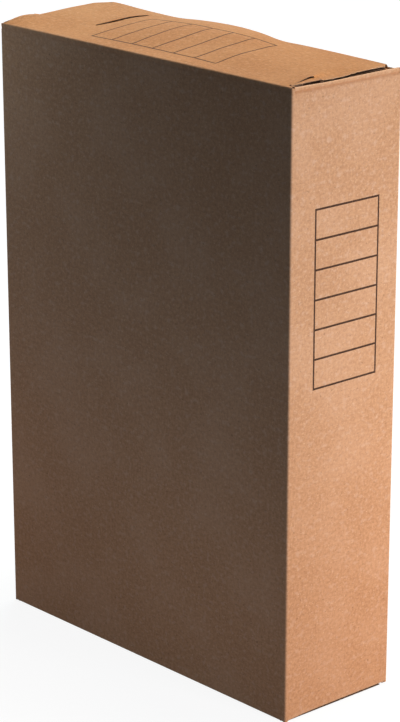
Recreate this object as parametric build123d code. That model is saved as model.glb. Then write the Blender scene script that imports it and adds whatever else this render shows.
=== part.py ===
"""Upright archive file box, folded from one sheet of thin corrugated kraft board.

Frame: X runs along the long side (spine at +X, rear at -X), Y across the narrow side
(lid hinge side at -Y, lid tuck side at +Y), Z up. The origin is the bottom centre.
Every flat panel between two creases is a solid of its own, and so is every crease.
"""

import os
from math import atan2, cos, degrees, hypot, radians, sin

from build123d import *

# Driving dimensions in millimetres: the closed box
BOX_LENGTH = 240.0
BOX_WIDTH = 80.0
BOX_HEIGHT = 355.0
BOARD = 1.6
CREASE_RADIUS = 2.0
GLUE_FILM = 0.2

# Lid: a crowned panel hinged along the front wall, tucked in behind the back wall.
# It lies higher at the rear than at the spine: (back edge height, crown over the chord)
LID_BACK_Y = 36.6
LID_REAR_END = (359.8, 3.5)
LID_SPINE_END = (357.4, 2.2)
LID_HALF_LENGTH = 119.0
LID_NECK_HALF_LENGTH = 117.2
LID_NECK_DEPTH = 24.0
LID_BACK_CORNER_CUT = 8.0
EAR_SLIT_END = (111.0, -17.0)
EAR_SLIT_WIDTH = 0.8
TUCK_SLANT = 17.0
TUCK_DEPTH = 30.0
TUCK_HALF_LENGTH = 112.0
TUCK_CORNER_RADIUS = 18.0
TUCK_CREASE_MARGIN = 1.0
TUCK_GAP = 0.05

# Slit through the lid
SLIT_X = -69.0
SLIT_Y = (-12.0, 28.0)
SLIT_WIDTH = 1.6

# Dust flaps under the lid
DUST_LENGTH = 72.0
DUST_FRONT_AT_CREASE = -21.0
DUST_FRONT_AT_TIP = -10.0
DUST_BACK = 33.0
DUST_CORNER_RADIUS = 6.0

# Bottom closure
BOTTOM_HALF_LENGTH = 118.6
BOTTOM_TUCK_FACE = 37.8
BOTTOM_TUCK_HEIGHT = 30.0
BOTTOM_FLAP_LENGTH = 70.0
BOTTOM_FLAP_Y = (-36.0, 34.0)
BOTTOM_GLUE_PATCH = (40.0, 30.0)

# Maker's joint at the rear back corner
GLUE_FLAP_WIDTH = 30.0
GLUE_FLAP_Z = (45.0, 310.0)
GLUE_FLAP_TAPER = 12.0
SEAM_GLUE_WIDTH = 18.0
SEAM_GLUE_MARGIN = 16.0

# Derived faces and levels
HALF_X = BOX_LENGTH / 2
HALF_Y = BOX_WIDTH / 2
WALL_TOP = BOX_HEIGHT - CREASE_RADIUS
BACK_INNER = HALF_Y - BOARD
GLUE_FLAP_FACE = BACK_INNER - GLUE_FILM
BACK_WALL_TOP = BOX_HEIGHT - BOARD
BOTTOM_FLAP_LEVEL = BOARD + GLUE_FILM
SIDE_WALL_BOTTOM = BOTTOM_FLAP_LEVEL + CREASE_RADIUS
CUTTER_DEPTH = 24.0


def block(x_range, y_range, z_range):
    """Plain plate between three pairs of limits."""
    size = [high - low for low, high in (x_range, y_range, z_range)]
    middle = [(high + low) / 2 for low, high in (x_range, y_range, z_range)]
    return Pos(*middle) * Box(*size)


def board_arc(centre, radius, start_angle, end_angle):
    """Board section bent round a centre, with its outer face at the radius."""
    sweep = end_angle - start_angle
    outer = CenterArc(centre, radius, start_angle, sweep)
    inner = CenterArc(centre, radius - BOARD, start_angle, sweep)
    ends = [Line(outer @ 0, inner @ 0), Line(outer @ 1, inner @ 1)]
    return make_face([outer, inner] + ends)


def crease_along_x(centre, start_angle, end_angle, half_length):
    """Crease strip along X, with its section in the YZ plane."""
    section = Plane.YZ * board_arc(centre, CREASE_RADIUS, start_angle, end_angle)
    return extrude(section, half_length, both=True)


def crease_along_y(side, centre_z, start_angle, end_angle):
    """Crease strip along Y at the spine (side 1) or rear (side -1) wall."""
    centre = (HALF_X - CREASE_RADIUS, centre_z)
    section = Plane.XZ * board_arc(centre, CREASE_RADIUS, start_angle, end_angle)
    strip = extrude(section, HALF_Y - CREASE_RADIUS, both=True)
    return strip if side > 0 else mirror(strip, Plane.YZ)


def crease_along_z(centre, start_angle, z_range):
    """Upright quarter-round crease at a corner of the box."""
    section = board_arc(centre, CREASE_RADIUS, start_angle, start_angle + 90)
    return Pos(0, 0, z_range[0]) * extrude(section, z_range[1] - z_range[0])


def walls():
    """The four upright walls."""
    inner_x = HALF_X - CREASE_RADIUS
    inner_y = HALF_Y - CREASE_RADIUS
    side_z = (SIDE_WALL_BOTTOM, WALL_TOP)
    rear_back_y = GLUE_FLAP_FACE - CREASE_RADIUS
    front_y = (-HALF_Y, BOARD - HALF_Y)
    return {
        "front_panel": block((-inner_x, inner_x), front_y, (CREASE_RADIUS, WALL_TOP)),
        "back_panel": block((-HALF_X, inner_x), (BACK_INNER, HALF_Y), (0, BACK_WALL_TOP)),
        "spine_panel": block((HALF_X - BOARD, HALF_X), (-inner_y, inner_y), side_z),
        "rear_panel": block((-HALF_X, BOARD - HALF_X), (-inner_y, rear_back_y), side_z),
    }


def upright_creases():
    """The creases between neighbouring walls."""
    x = HALF_X - CREASE_RADIUS
    y = HALF_Y - CREASE_RADIUS
    z_range = (SIDE_WALL_BOTTOM, WALL_TOP)
    glue_centre = (-x, GLUE_FLAP_FACE - CREASE_RADIUS)
    return {
        "front_spine_crease": crease_along_z((x, -y), 270, z_range),
        "back_spine_crease": crease_along_z((x, y), 0, z_range),
        "front_rear_crease": crease_along_z((-x, -y), 180, z_range),
        "glue_flap_crease": crease_along_z(glue_centre, 90, GLUE_FLAP_Z),
    }


def maker_joint():
    """Glue flap on the inside of the back wall, and its film of glue."""
    low, high = GLUE_FLAP_Z
    root = CREASE_RADIUS - HALF_X
    tip = root + GLUE_FLAP_WIDTH
    outline = [(root, low), (tip, low + GLUE_FLAP_TAPER), (tip, high - GLUE_FLAP_TAPER), (root, high)]
    face = Plane.XZ * make_face(Polyline(*outline, close=True))
    flap = Pos(0, GLUE_FLAP_FACE, 0) * extrude(face, BOARD)
    glue_x = (root + GLUE_FLAP_WIDTH / 4, root + GLUE_FLAP_WIDTH / 4 + SEAM_GLUE_WIDTH)
    glue_z = (low + SEAM_GLUE_MARGIN, high - SEAM_GLUE_MARGIN)
    film = block(glue_x, (GLUE_FLAP_FACE, BACK_INNER), glue_z)
    return {"glue_flap": flap, "seam_glue": film}


def lid_arc(side):
    """Centre, outer radius and end angles, in YZ, of the lid section at one end."""
    back_height, crown = LID_SPINE_END if side > 0 else LID_REAR_END
    start = (CREASE_RADIUS - HALF_Y, BOX_HEIGHT)
    chord_y = LID_BACK_Y - start[0]
    chord_z = back_height - start[1]
    chord = hypot(chord_y, chord_z)
    radius = chord**2 / (8 * crown) + crown / 2
    drop = (radius - crown) / chord
    centre = (start[0] + chord_y / 2 + chord_z * drop, start[1] + chord_z / 2 - chord_y * drop)
    start_angle = degrees(atan2(start[1] - centre[1], start[0] - centre[0]))
    end_angle = degrees(atan2(back_height - centre[1], LID_BACK_Y - centre[0]))
    return centre, radius, start_angle, end_angle


def along(origin, angle, distance):
    """Point at a distance from an origin, in the direction of an angle in degrees."""
    return (origin[0] + distance * cos(radians(angle)), origin[1] + distance * sin(radians(angle)))


def tuck_crease_centre(side):
    """Centre, in YZ, of the crease at the back edge of the lid, at one end."""
    centre, radius, _, edge_angle = lid_arc(side)
    return along(centre, edge_angle, radius - CREASE_RADIUS)


def tuck_hinge_point(side):
    """Where the outer faces of the lid and its tuck flap would meet, at one end."""
    edge_angle = lid_arc(side)[3]
    half_turn = (edge_angle + TUCK_SLANT) / 2
    reach = CREASE_RADIUS / cos(radians(half_turn))
    corner = along(tuck_crease_centre(side), edge_angle - half_turn, reach)
    return Vector(side * LID_HALF_LENGTH, *corner)


def loft_along_lid(section):
    """Straight-ruled solid between a section's shapes at the rear and the spine end."""
    ends = [Plane.YZ.offset(side * LID_HALF_LENGTH) * section(side) for side in (-1, 1)]
    return loft(ends, ruled=True)


def slot(start, end, width):
    """Upright cutter with round ends between two points in plan."""
    centre = ((start[0] + end[0]) / 2, (start[1] + end[1]) / 2)
    length = hypot(end[0] - start[0], end[1] - start[1])
    angle = degrees(atan2(end[1] - start[1], end[0] - start[0]))
    profile = SlotCenterToCenter(length, width)
    cutter = Rot(0, 0, angle) * extrude(profile, CUTTER_DEPTH)
    return Pos(*centre, BOX_HEIGHT - CUTTER_DEPTH / 2) * cutter


def lid_outline():
    """Half plan of the lid at the spine end: a narrow neck, then the full length."""
    front = -HALF_Y
    neck_end = LID_NECK_DEPTH - HALF_Y
    step = LID_HALF_LENGTH - LID_NECK_HALF_LENGTH
    back = LID_BACK_Y + CREASE_RADIUS
    return [
        (0, front),
        (LID_NECK_HALF_LENGTH, front),
        (LID_NECK_HALF_LENGTH, neck_end - step),
        (LID_HALF_LENGTH, neck_end),
        (LID_HALF_LENGTH, LID_BACK_Y - LID_BACK_CORNER_CUT),
        (LID_HALF_LENGTH - LID_BACK_CORNER_CUT, back),
        (0, back),
    ]


def lid_panel():
    """Crowned lid with a slit near the rear and an ear slit at each front corner."""
    half_plan = make_face(Polyline(*lid_outline(), close=True))
    half_prism = Pos(0, 0, BOX_HEIGHT - CUTTER_DEPTH / 2) * extrude(half_plan, CUTTER_DEPTH)
    plan = half_prism + mirror(half_prism, Plane.YZ)
    panel = loft_along_lid(lambda side: board_arc(*lid_arc(side))) & plan
    ear_slit = slot((LID_NECK_HALF_LENGTH, CREASE_RADIUS - HALF_Y), EAR_SLIT_END, EAR_SLIT_WIDTH)
    main_slit = slot((SLIT_X, SLIT_Y[0]), (SLIT_X, SLIT_Y[1]), SLIT_WIDTH)
    return panel - ear_slit - mirror(ear_slit, Plane.YZ) - main_slit


def lid_tuck_crease():
    """Rounded crease along the back edge of the lid."""

    def section(side):
        return board_arc(tuck_crease_centre(side), CREASE_RADIUS, -TUCK_SLANT, lid_arc(side)[3])

    half = TUCK_HALF_LENGTH - TUCK_CREASE_MARGIN
    limits = block((-half, half), (0, BOX_WIDTH), (0, 2 * BOX_HEIGHT))
    return loft_along_lid(section) & limits


def rounded_flap(half_length, depth, corner_radius):
    """Flap face that starts on the local X axis, with its two free corners rounded."""
    face = Pos(0, depth / 2) * Rectangle(2 * half_length, depth)
    free_corners = face.vertices().sort_by(Axis.Y)[-2:]
    return fillet(free_corners, corner_radius)


def lid_tuck_flap():
    """Flap that hangs from the back edge of the lid and slants inwards."""
    corners = [along(tuck_crease_centre(side), -TUCK_SLANT, CREASE_RADIUS) for side in (-1, 1)]
    rear, spine = (Vector(side * LID_HALF_LENGTH, *corner) for side, corner in zip((-1, 1), corners))
    edge = (spine - rear).normalized()
    down = Vector(0, -sin(radians(TUCK_SLANT)), -cos(radians(TUCK_SLANT)))
    plane = Plane(origin=(rear + spine) / 2, x_dir=edge, z_dir=edge.cross(down))
    face = Pos(0, TUCK_GAP) * rounded_flap(TUCK_HALF_LENGTH, TUCK_DEPTH, TUCK_CORNER_RADIUS)
    return extrude(plane * face, -BOARD)


def lid_parts():
    """Lid hinge crease, lid, and the tuck flap with its crease."""
    front_centre = (CREASE_RADIUS - HALF_Y, WALL_TOP)
    return {
        "lid_crease": crease_along_x(front_centre, 90, 180, HALF_X - CREASE_RADIUS),
        "lid_panel": lid_panel(),
        "lid_tuck_crease": lid_tuck_crease(),
        "lid_tuck_flap": lid_tuck_flap(),
    }


def dust_flap(side):
    """Flap under one end of the lid, its front edge cut back towards the tip."""
    root = HALF_X - CREASE_RADIUS
    tip = HALF_X - DUST_LENGTH
    outline = [
        (root, DUST_FRONT_AT_CREASE),
        (tip, DUST_FRONT_AT_TIP),
        (tip, DUST_BACK),
        (root, DUST_BACK),
    ]
    face = make_face(Polyline(*outline, close=True))
    face = fillet(face.vertices().sort_by(Axis.X)[:2], DUST_CORNER_RADIUS)
    flap = Pos(0, 0, BOX_HEIGHT - BOARD) * extrude(face, BOARD)
    return flap if side > 0 else mirror(flap, Plane.YZ)


def dust_parts():
    """Dust flaps at the spine and the rear, each with its crease."""
    return {
        "spine_dust_crease": crease_along_y(1, WALL_TOP, 0, 90),
        "spine_dust_flap": dust_flap(1),
        "rear_dust_crease": crease_along_y(-1, WALL_TOP, 0, 90),
        "rear_dust_flap": dust_flap(-1),
    }


def bottom_flap(side):
    """Short flap lying on the bottom panel at one end."""
    root = HALF_X - CREASE_RADIUS
    x_range = (root - BOTTOM_FLAP_LENGTH, root)
    flap = block(x_range, BOTTOM_FLAP_Y, (BOTTOM_FLAP_LEVEL, BOTTOM_FLAP_LEVEL + BOARD))
    free_corners = flap.edges().filter_by(Axis.Z).sort_by(Axis.X)[:2]
    flap = fillet(free_corners, DUST_CORNER_RADIUS)
    return flap if side > 0 else mirror(flap, Plane.YZ)


def bottom_glue(side):
    """Patch of glue between a bottom flap and the bottom panel."""
    length, width = BOTTOM_GLUE_PATCH
    centre_x = side * (HALF_X - BOTTOM_FLAP_LENGTH / 2)
    x_range = (centre_x - length / 2, centre_x + length / 2)
    return block(x_range, (-width / 2, width / 2), (BOARD, BOTTOM_FLAP_LEVEL))


def bottom_tuck_flap():
    """Flap that stands up from the bottom panel inside the back wall."""
    plane = Plane(origin=(0, BOTTOM_TUCK_FACE, CREASE_RADIUS), x_dir=(-1, 0, 0), z_dir=(0, 1, 0))
    depth = BOTTOM_TUCK_HEIGHT - CREASE_RADIUS
    face = rounded_flap(TUCK_HALF_LENGTH, depth, TUCK_CORNER_RADIUS)
    return extrude(plane * face, -BOARD)


def bottom_parts():
    """Bottom panel, its two creases, tuck flap, end flaps and glue."""
    front_centre = (CREASE_RADIUS - HALF_Y, CREASE_RADIUS)
    back_centre = (BOTTOM_TUCK_FACE - CREASE_RADIUS, CREASE_RADIUS)
    panel_x = (-BOTTOM_HALF_LENGTH, BOTTOM_HALF_LENGTH)
    return {
        "bottom_crease": crease_along_x(front_centre, 180, 270, HALF_X - CREASE_RADIUS),
        "bottom_panel": block(panel_x, (front_centre[0], back_centre[0]), (0, BOARD)),
        "bottom_tuck_crease": crease_along_x(back_centre, 270, 360, TUCK_HALF_LENGTH),
        "bottom_tuck_flap": bottom_tuck_flap(),
        "bottom_spine_crease": crease_along_y(1, SIDE_WALL_BOTTOM, 270, 360),
        "bottom_spine_flap": bottom_flap(1),
        "bottom_spine_glue": bottom_glue(1),
        "bottom_rear_crease": crease_along_y(-1, SIDE_WALL_BOTTOM, 270, 360),
        "bottom_rear_flap": bottom_flap(-1),
        "bottom_rear_glue": bottom_glue(-1),
    }


def main():
    """Write one STEP file per piece and print the hinge lines."""
    parts = {**walls(), **upright_creases(), **maker_joint(), **lid_parts(), **dust_parts(), **bottom_parts()}
    os.makedirs("parts", exist_ok=True)
    for name, shape in parts.items():
        export_step(shape, f"parts/{name}.step")
    print("pieces", len(parts))
    print("lid hinge line y, z:", -HALF_Y, BOX_HEIGHT)
    print("tuck hinge line:", tuck_hinge_point(-1), tuck_hinge_point(1))
    print("dust flap hinge line x, z:", HALF_X, BOX_HEIGHT)


main()
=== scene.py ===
"""Looks of the upright archive file box, folded from one sheet of thin corrugated kraft board.

Every sheet of board is a surface worked out on a grid in millimetres, in the frame of the CAD model, with its
outer face, its inner face and its cut edges, where the fluting shows between the two liners. Each point also
knows its place on the flat blank before folding, and all patterns of the paper are drawn there, so that fibres
and flutes run on over the folds as they do on the real sheet.
"""

import logging
import math
from dataclasses import dataclass, replace
from enum import Enum, IntEnum

import bpy
import numpy as np
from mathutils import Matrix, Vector


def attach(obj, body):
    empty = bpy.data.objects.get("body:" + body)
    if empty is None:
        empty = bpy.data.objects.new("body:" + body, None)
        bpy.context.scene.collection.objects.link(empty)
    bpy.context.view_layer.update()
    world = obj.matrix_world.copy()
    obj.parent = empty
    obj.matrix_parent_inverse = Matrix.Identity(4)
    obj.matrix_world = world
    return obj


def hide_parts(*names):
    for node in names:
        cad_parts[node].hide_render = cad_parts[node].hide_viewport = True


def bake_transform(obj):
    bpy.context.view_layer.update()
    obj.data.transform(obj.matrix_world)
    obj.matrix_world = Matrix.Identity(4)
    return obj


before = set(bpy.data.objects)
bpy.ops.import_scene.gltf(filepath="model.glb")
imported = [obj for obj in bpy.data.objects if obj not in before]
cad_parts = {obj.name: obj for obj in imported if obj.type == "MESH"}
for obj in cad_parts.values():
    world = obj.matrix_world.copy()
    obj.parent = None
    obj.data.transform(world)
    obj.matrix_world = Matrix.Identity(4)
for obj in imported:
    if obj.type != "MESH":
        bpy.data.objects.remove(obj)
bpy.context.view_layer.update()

Pair = tuple[float, float]
Triple = tuple[float, float, float]
Socket = bpy.types.NodeSocket

log = logging.getLogger("file_box")
MM = 0.001
FINE = 0.4  # grid step along the cuts that cross the flutes, in millimetres
THIN = 0.05  # width of the flat cells right beside a crease, in millimetres
CORNER_STEPS = 15  # cells round the corner of a flap
SHARP_ANGLE = 38.0  # degrees between faces, past which their edge is drawn sharp
PINCHED = 0.2  # value of raw at a crease's ends, where the board is pressed nearly shut


class Slot(Enum):
    """Material slots of the record."""

    BOARD = "kraft_board"


class Body(Enum):
    """Moving bodies of the record."""

    CASE = "case"
    LID = "lid"
    TUCK = "tuck_flap"
    SPINE_DUST = "spine_dust"
    REAR_DUST = "rear_dust"


class Side(IntEnum):
    """The two narrow ends of the box, as the sign of X."""

    REAR = -1
    SPINE = 1


class Face(IntEnum):
    """Which side of the board a polygon belongs to, as its material index."""

    OUTER = 0
    INNER = 1
    CUT = 2
    HOLLOW_PAINTED_SHADE = 3


class Edge(IntEnum):
    """How a sheet ends, as its value of raw: joined to the next sheet, cut, or cut with the inner or both liners' cut
    edges painted dark as shade.
    """

    JOINED = 0
    CUT = 1
    PAINTED_SHADE_INNER = 2
    PAINTED_SHADE_BOTH = 3


# ---------------------------------------------------------------------------------------------------------------
# Numbers along a line


def ease(t: np.ndarray) -> np.ndarray:
    """Smooth step: t clipped to 0..1, then three t squared minus two t cubed."""
    t = np.clip(t, 0.0, 1.0)
    return t * t * (3.0 - 2.0 * t)


def bump(x: np.ndarray, middle: float, width: float) -> np.ndarray:
    """Bell curve: e to minus the square of the distance from the middle over the width."""
    return np.exp(-(((x - middle) / width) ** 2))


def hill(x: np.ndarray, start: float, end: float) -> np.ndarray:
    """Half a sine wave: 0 at the start, 1 half-way, 0 at the end and outside."""
    return np.sin(math.pi * np.clip((x - start) / (end - start), 0, 1))


def through(x: np.ndarray, places: np.ndarray, values: np.ndarray) -> np.ndarray:
    """Smooth curve through knots.

    Between two knots it is the cubic that has, at each knot, the slope of the line between that knot's
    neighbours. Outside the knots it keeps the end values.

    Args:
        x: places where the curve is wanted.
        places: the knots' places, in rising order.
        values: the knots' values, either one each or a whole grid in the shape of x for each.

    Returns:
        The curve's values, in the shape of x.
    """
    places, values = np.asarray(places, float), np.asarray(values, float)
    slopes = np.gradient(values, places, axis=0)
    x = np.clip(x, places[0], places[-1])
    i = np.clip(np.searchsorted(places, x, side="right") - 1, 0, len(places) - 2)
    step = places[i + 1] - places[i]
    t = (x - places[i]) / step

    def at(grid: np.ndarray, k: np.ndarray) -> np.ndarray:
        """Value of knot k at each place."""
        return grid[k] if grid.ndim == 1 else np.take_along_axis(grid, k[None], 0)[0]

    start = (1 + 2 * t) * (1 - t) ** 2 * at(values, i) + t * (1 - t) ** 2 * step * at(slopes, i)
    end = t**2 * (3 - 2 * t) * at(values, i + 1) - t**2 * (1 - t) * step * at(slopes, i + 1)
    return start + end


def stations(*runs: Triple) -> np.ndarray:
    """Places along a line, each once.

    Args:
        runs: start, end and largest step of each run.

    Returns:
        The places.
    """
    parts = [np.linspace(a, b, max(2, math.ceil(abs(b - a) / step) + 1)) for a, b, step in runs]
    places = np.concatenate(parts)
    return places[np.append(True, np.abs(np.diff(places)) > 1e-6)]


def between_creases(start: float, end: float, step: float) -> np.ndarray:
    """Places along a flat run, with a thin cell beside the crease at each end, which keeps the shading flat."""
    return stations((start, start + THIN, THIN), (start + THIN, end - THIN, step), (end - THIN, end, THIN))


def fine(width: float, start: float, end: float) -> np.ndarray:
    """Shares from start to end along a cut of a given width, close enough together to draw the fluting."""
    return np.linspace(start, end, math.ceil(width / FINE) + 1)


def lengths(points: np.ndarray) -> np.ndarray:
    """Distance of each point of a line from its first point, measured along the line."""
    return np.append(0.0, np.cumsum(np.linalg.norm(np.diff(points, axis=0), axis=1)))


def unit(vectors: np.ndarray) -> np.ndarray:
    """Vectors divided by their lengths."""
    length = np.linalg.norm(vectors, axis=-1, keepdims=True)
    return vectors / np.maximum(length, 1e-12)


def stack(*parts: np.ndarray | float) -> np.ndarray:
    """Coordinates joined into points, after they are stretched to one shape."""
    return np.stack(np.broadcast_arrays(*parts), axis=-1).astype(float)


# ---------------------------------------------------------------------------------------------------------------
# Sections of folds and outlines of flaps


def reach(normals: np.ndarray, radius: float, power: float) -> np.ndarray:
    """Distance to a superellipse along unit vectors: radius over the root of the sum of their parts to a power."""
    return radius / (np.abs(normals) ** power).sum(-1, keepdims=True) ** (1 / power)


def arc(
    centre: Pair, radius: float, start: float, end: float, steps: int, power: float = 2.0
) -> tuple[np.ndarray, np.ndarray]:
    """Section of a fold: the centre plus a superellipse's reach times (cosine, sine) of the angle.

    Args:
        centre: its centre.
        radius: its radius along the two axes.
        start: angle of its first point, in degrees.
        end: angle of its last point.
        steps: how many steps it takes.
        power: of the superellipse. 2 is round, more is squarer.

    Returns:
        Points, and the unit vectors towards them from the centre.
    """
    angle = np.radians(np.linspace(start, end, steps + 1))
    normal = np.stack([np.cos(angle), np.sin(angle)], -1)
    return np.array(centre) + reach(normal, radius, power) * normal, normal


def joined(*runs: tuple[object, ...]) -> list[np.ndarray]:
    """Runs of a section, end to end.

    Args:
        runs: for each run its points, their normals and then other values, each either one or one for each point.

    Returns:
        Points, normals and each of the values, with a row for each point.
    """
    made = [np.concatenate([run[0] for run in runs])]
    made.append(np.concatenate([np.broadcast_to(run[1], run[0].shape) for run in runs]))
    for k in range(2, len(runs[0])):
        made.append(np.concatenate([np.broadcast_to(run[k], len(run[0])) for run in runs]))
    return made


def bent(count: int) -> np.ndarray:
    """Half a sine wave over the points of a fold."""
    return np.sin(np.linspace(0, math.pi, count))


def strip(
    across: np.ndarray, low: np.ndarray, high: np.ndarray, section: np.ndarray, normals: np.ndarray, axis: Triple
) -> tuple[np.ndarray, np.ndarray, np.ndarray]:
    """A section in one plane, carried along an axis between two limits that change along the section.

    The point at (u, v) is the section's point at v, plus the axis times the mix of low and high at v by u.

    Args:
        across: shares from 0 to 1, for u.
        low: lower limit for each v.
        high: upper limit for each v.
        section: section points, one row for each v.
        normals: section normals, one row for each v.
        axis: unit vector that u runs along.

    Returns:
        Grid of points, grid of normals, and the grid of places along the axis.
    """
    place = low[None, :] + (high - low)[None, :] * across[:, None]
    points = section[None, :, :] + place[:, :, None] * np.array(axis)
    return points, np.broadcast_to(normals[None], points.shape), place


def rounded_half_width(run: np.ndarray, half: float, depth: float, radius: float) -> np.ndarray:
    """Half-width of a flap with rounded free corners: half, less radius minus the circle's own half-chord."""
    into = np.clip(run - (depth - radius), 0.0, radius)
    return half - radius + np.sqrt(np.maximum(radius**2 - into**2, 0.0))


def clustered(depth: float, radius: float, step: float) -> np.ndarray:
    """Places down a flap, closer together where its corners turn."""
    turn = depth - radius + radius * np.sin(np.linspace(0, math.pi / 2, CORNER_STEPS + 1))
    return np.concatenate([stations((0.0, depth - radius, step)), turn[1:]])


def cut_round(shape: tuple[int, int]) -> np.ndarray:
    """Values of raw for a flap: cut all round, and joined to its crease at its first row.

    Args:
        shape: of its grid.

    Returns:
        The values.
    """
    raw = np.full(shape, float(Edge.CUT))
    raw[1:-1, 0] = Edge.JOINED
    return raw


def pinched_ends(shape: tuple[int, int]) -> np.ndarray:
    """Values of raw for a crease: joined on both sides, and pinched at both ends.

    Args:
        shape: of its grid.

    Returns:
        The values.
    """
    raw = np.full(shape, float(Edge.JOINED))
    raw[[0, -1], 1:-1] = PINCHED
    return raw


# ---------------------------------------------------------------------------------------------------------------
# The blank: where a point of the folded box lies on the flat sheet


@dataclass(frozen=True)
class Blank:
    """Flat die-cut blank, in millimetres, with the middle of the front wall's bottom edge as its origin.

    Attributes:
        half_x: half the length of the closed box.
        half_y: half its width.
        radius: outer radius of its creases.
        height: outer height of the closed box at its top creases.
    """

    half_x: float = 120.0
    half_y: float = 40.0
    radius: float = 2.0
    height: float = 355.0

    @property
    def bend(self) -> float:
        """Length of paper in a quarter turn of a crease."""
        return self.radius * math.pi / 2

    @property
    def front_edge(self) -> float:
        """Half the width of the front wall between its two upright creases."""
        return self.half_x - self.radius

    def spine_u(self, y: np.ndarray | float) -> np.ndarray | float:
        """Across the blank, for a point on the spine wall or on a flap above or below it."""
        return self.front_edge + self.bend + (y + self.half_y - self.radius)

    def end_u(self, side: Side, y: np.ndarray) -> np.ndarray:
        """Across the blank, for a point on the wall or flaps of either end."""
        return side * self.spine_u(y)

    def top_v(self, run: np.ndarray | float) -> np.ndarray | float:
        """Up the blank, for a distance beyond a top crease."""
        return self.height - self.radius + self.bend + run

    def crease_v(self, share: np.ndarray) -> np.ndarray:
        """Up the blank, for a share of the way over a top crease."""
        return self.top_v(0.0) - self.bend * (1 - share)

    def bottom_v(self, run: np.ndarray) -> np.ndarray:
        """Up the blank, for a distance beyond a bottom crease, which is below zero."""
        return self.radius - self.bend - run


# ---------------------------------------------------------------------------------------------------------------
# Board: two liners with fluting between them


@dataclass
class Sheet:
    """A bent piece of board on a grid.

    The first axis of each array runs along u and the second along v, and u cross v points out of the outer face.

    Attributes:
        outer: points of the outer face, in millimetres.
        inward: vectors from the outer face to the inner face, in millimetres.
        flat: places on the blank, in millimetres.
        raw: how its edges end, as an Edge. Between joined and cut, the groove between the liners is shallower.
        fold: 0 on flat board, up to 1 on a crease, where it is drawn paler as stretched liner and painted highlight,
            below 0 in a pressed line, where it is drawn darker as painted shade.
        cells: which cells of the grid are board; the others are slits and cut-outs.
    """

    outer: np.ndarray
    inward: np.ndarray
    flat: np.ndarray
    raw: np.ndarray
    fold: np.ndarray
    cells: np.ndarray | None = None

    def __post_init__(self) -> None:
        """Stretch the masks over the whole grid."""
        shape = self.outer.shape[:2]
        self.inward = np.broadcast_to(self.inward, (*shape, 3)).astype(float)
        self.flat = np.broadcast_to(self.flat, (*shape, 2)).astype(float)
        self.raw = np.broadcast_to(self.raw, shape).astype(float)
        self.fold = np.broadcast_to(self.fold, shape).astype(float)
        if self.cells is None:
            self.cells = np.ones((shape[0] - 1, shape[1] - 1), bool)


@dataclass(frozen=True)
class Solid:
    """Closed mesh of a sheet.

    Attributes:
        points: its points, in millimetres.
        quads: rows of four point numbers.
        kinds: the Face of each quad.
        flat: places of the points on the blank, in millimetres.
        fold: their fold values.
    """

    points: np.ndarray
    quads: np.ndarray
    kinds: np.ndarray
    flat: np.ndarray
    fold: np.ndarray


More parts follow.
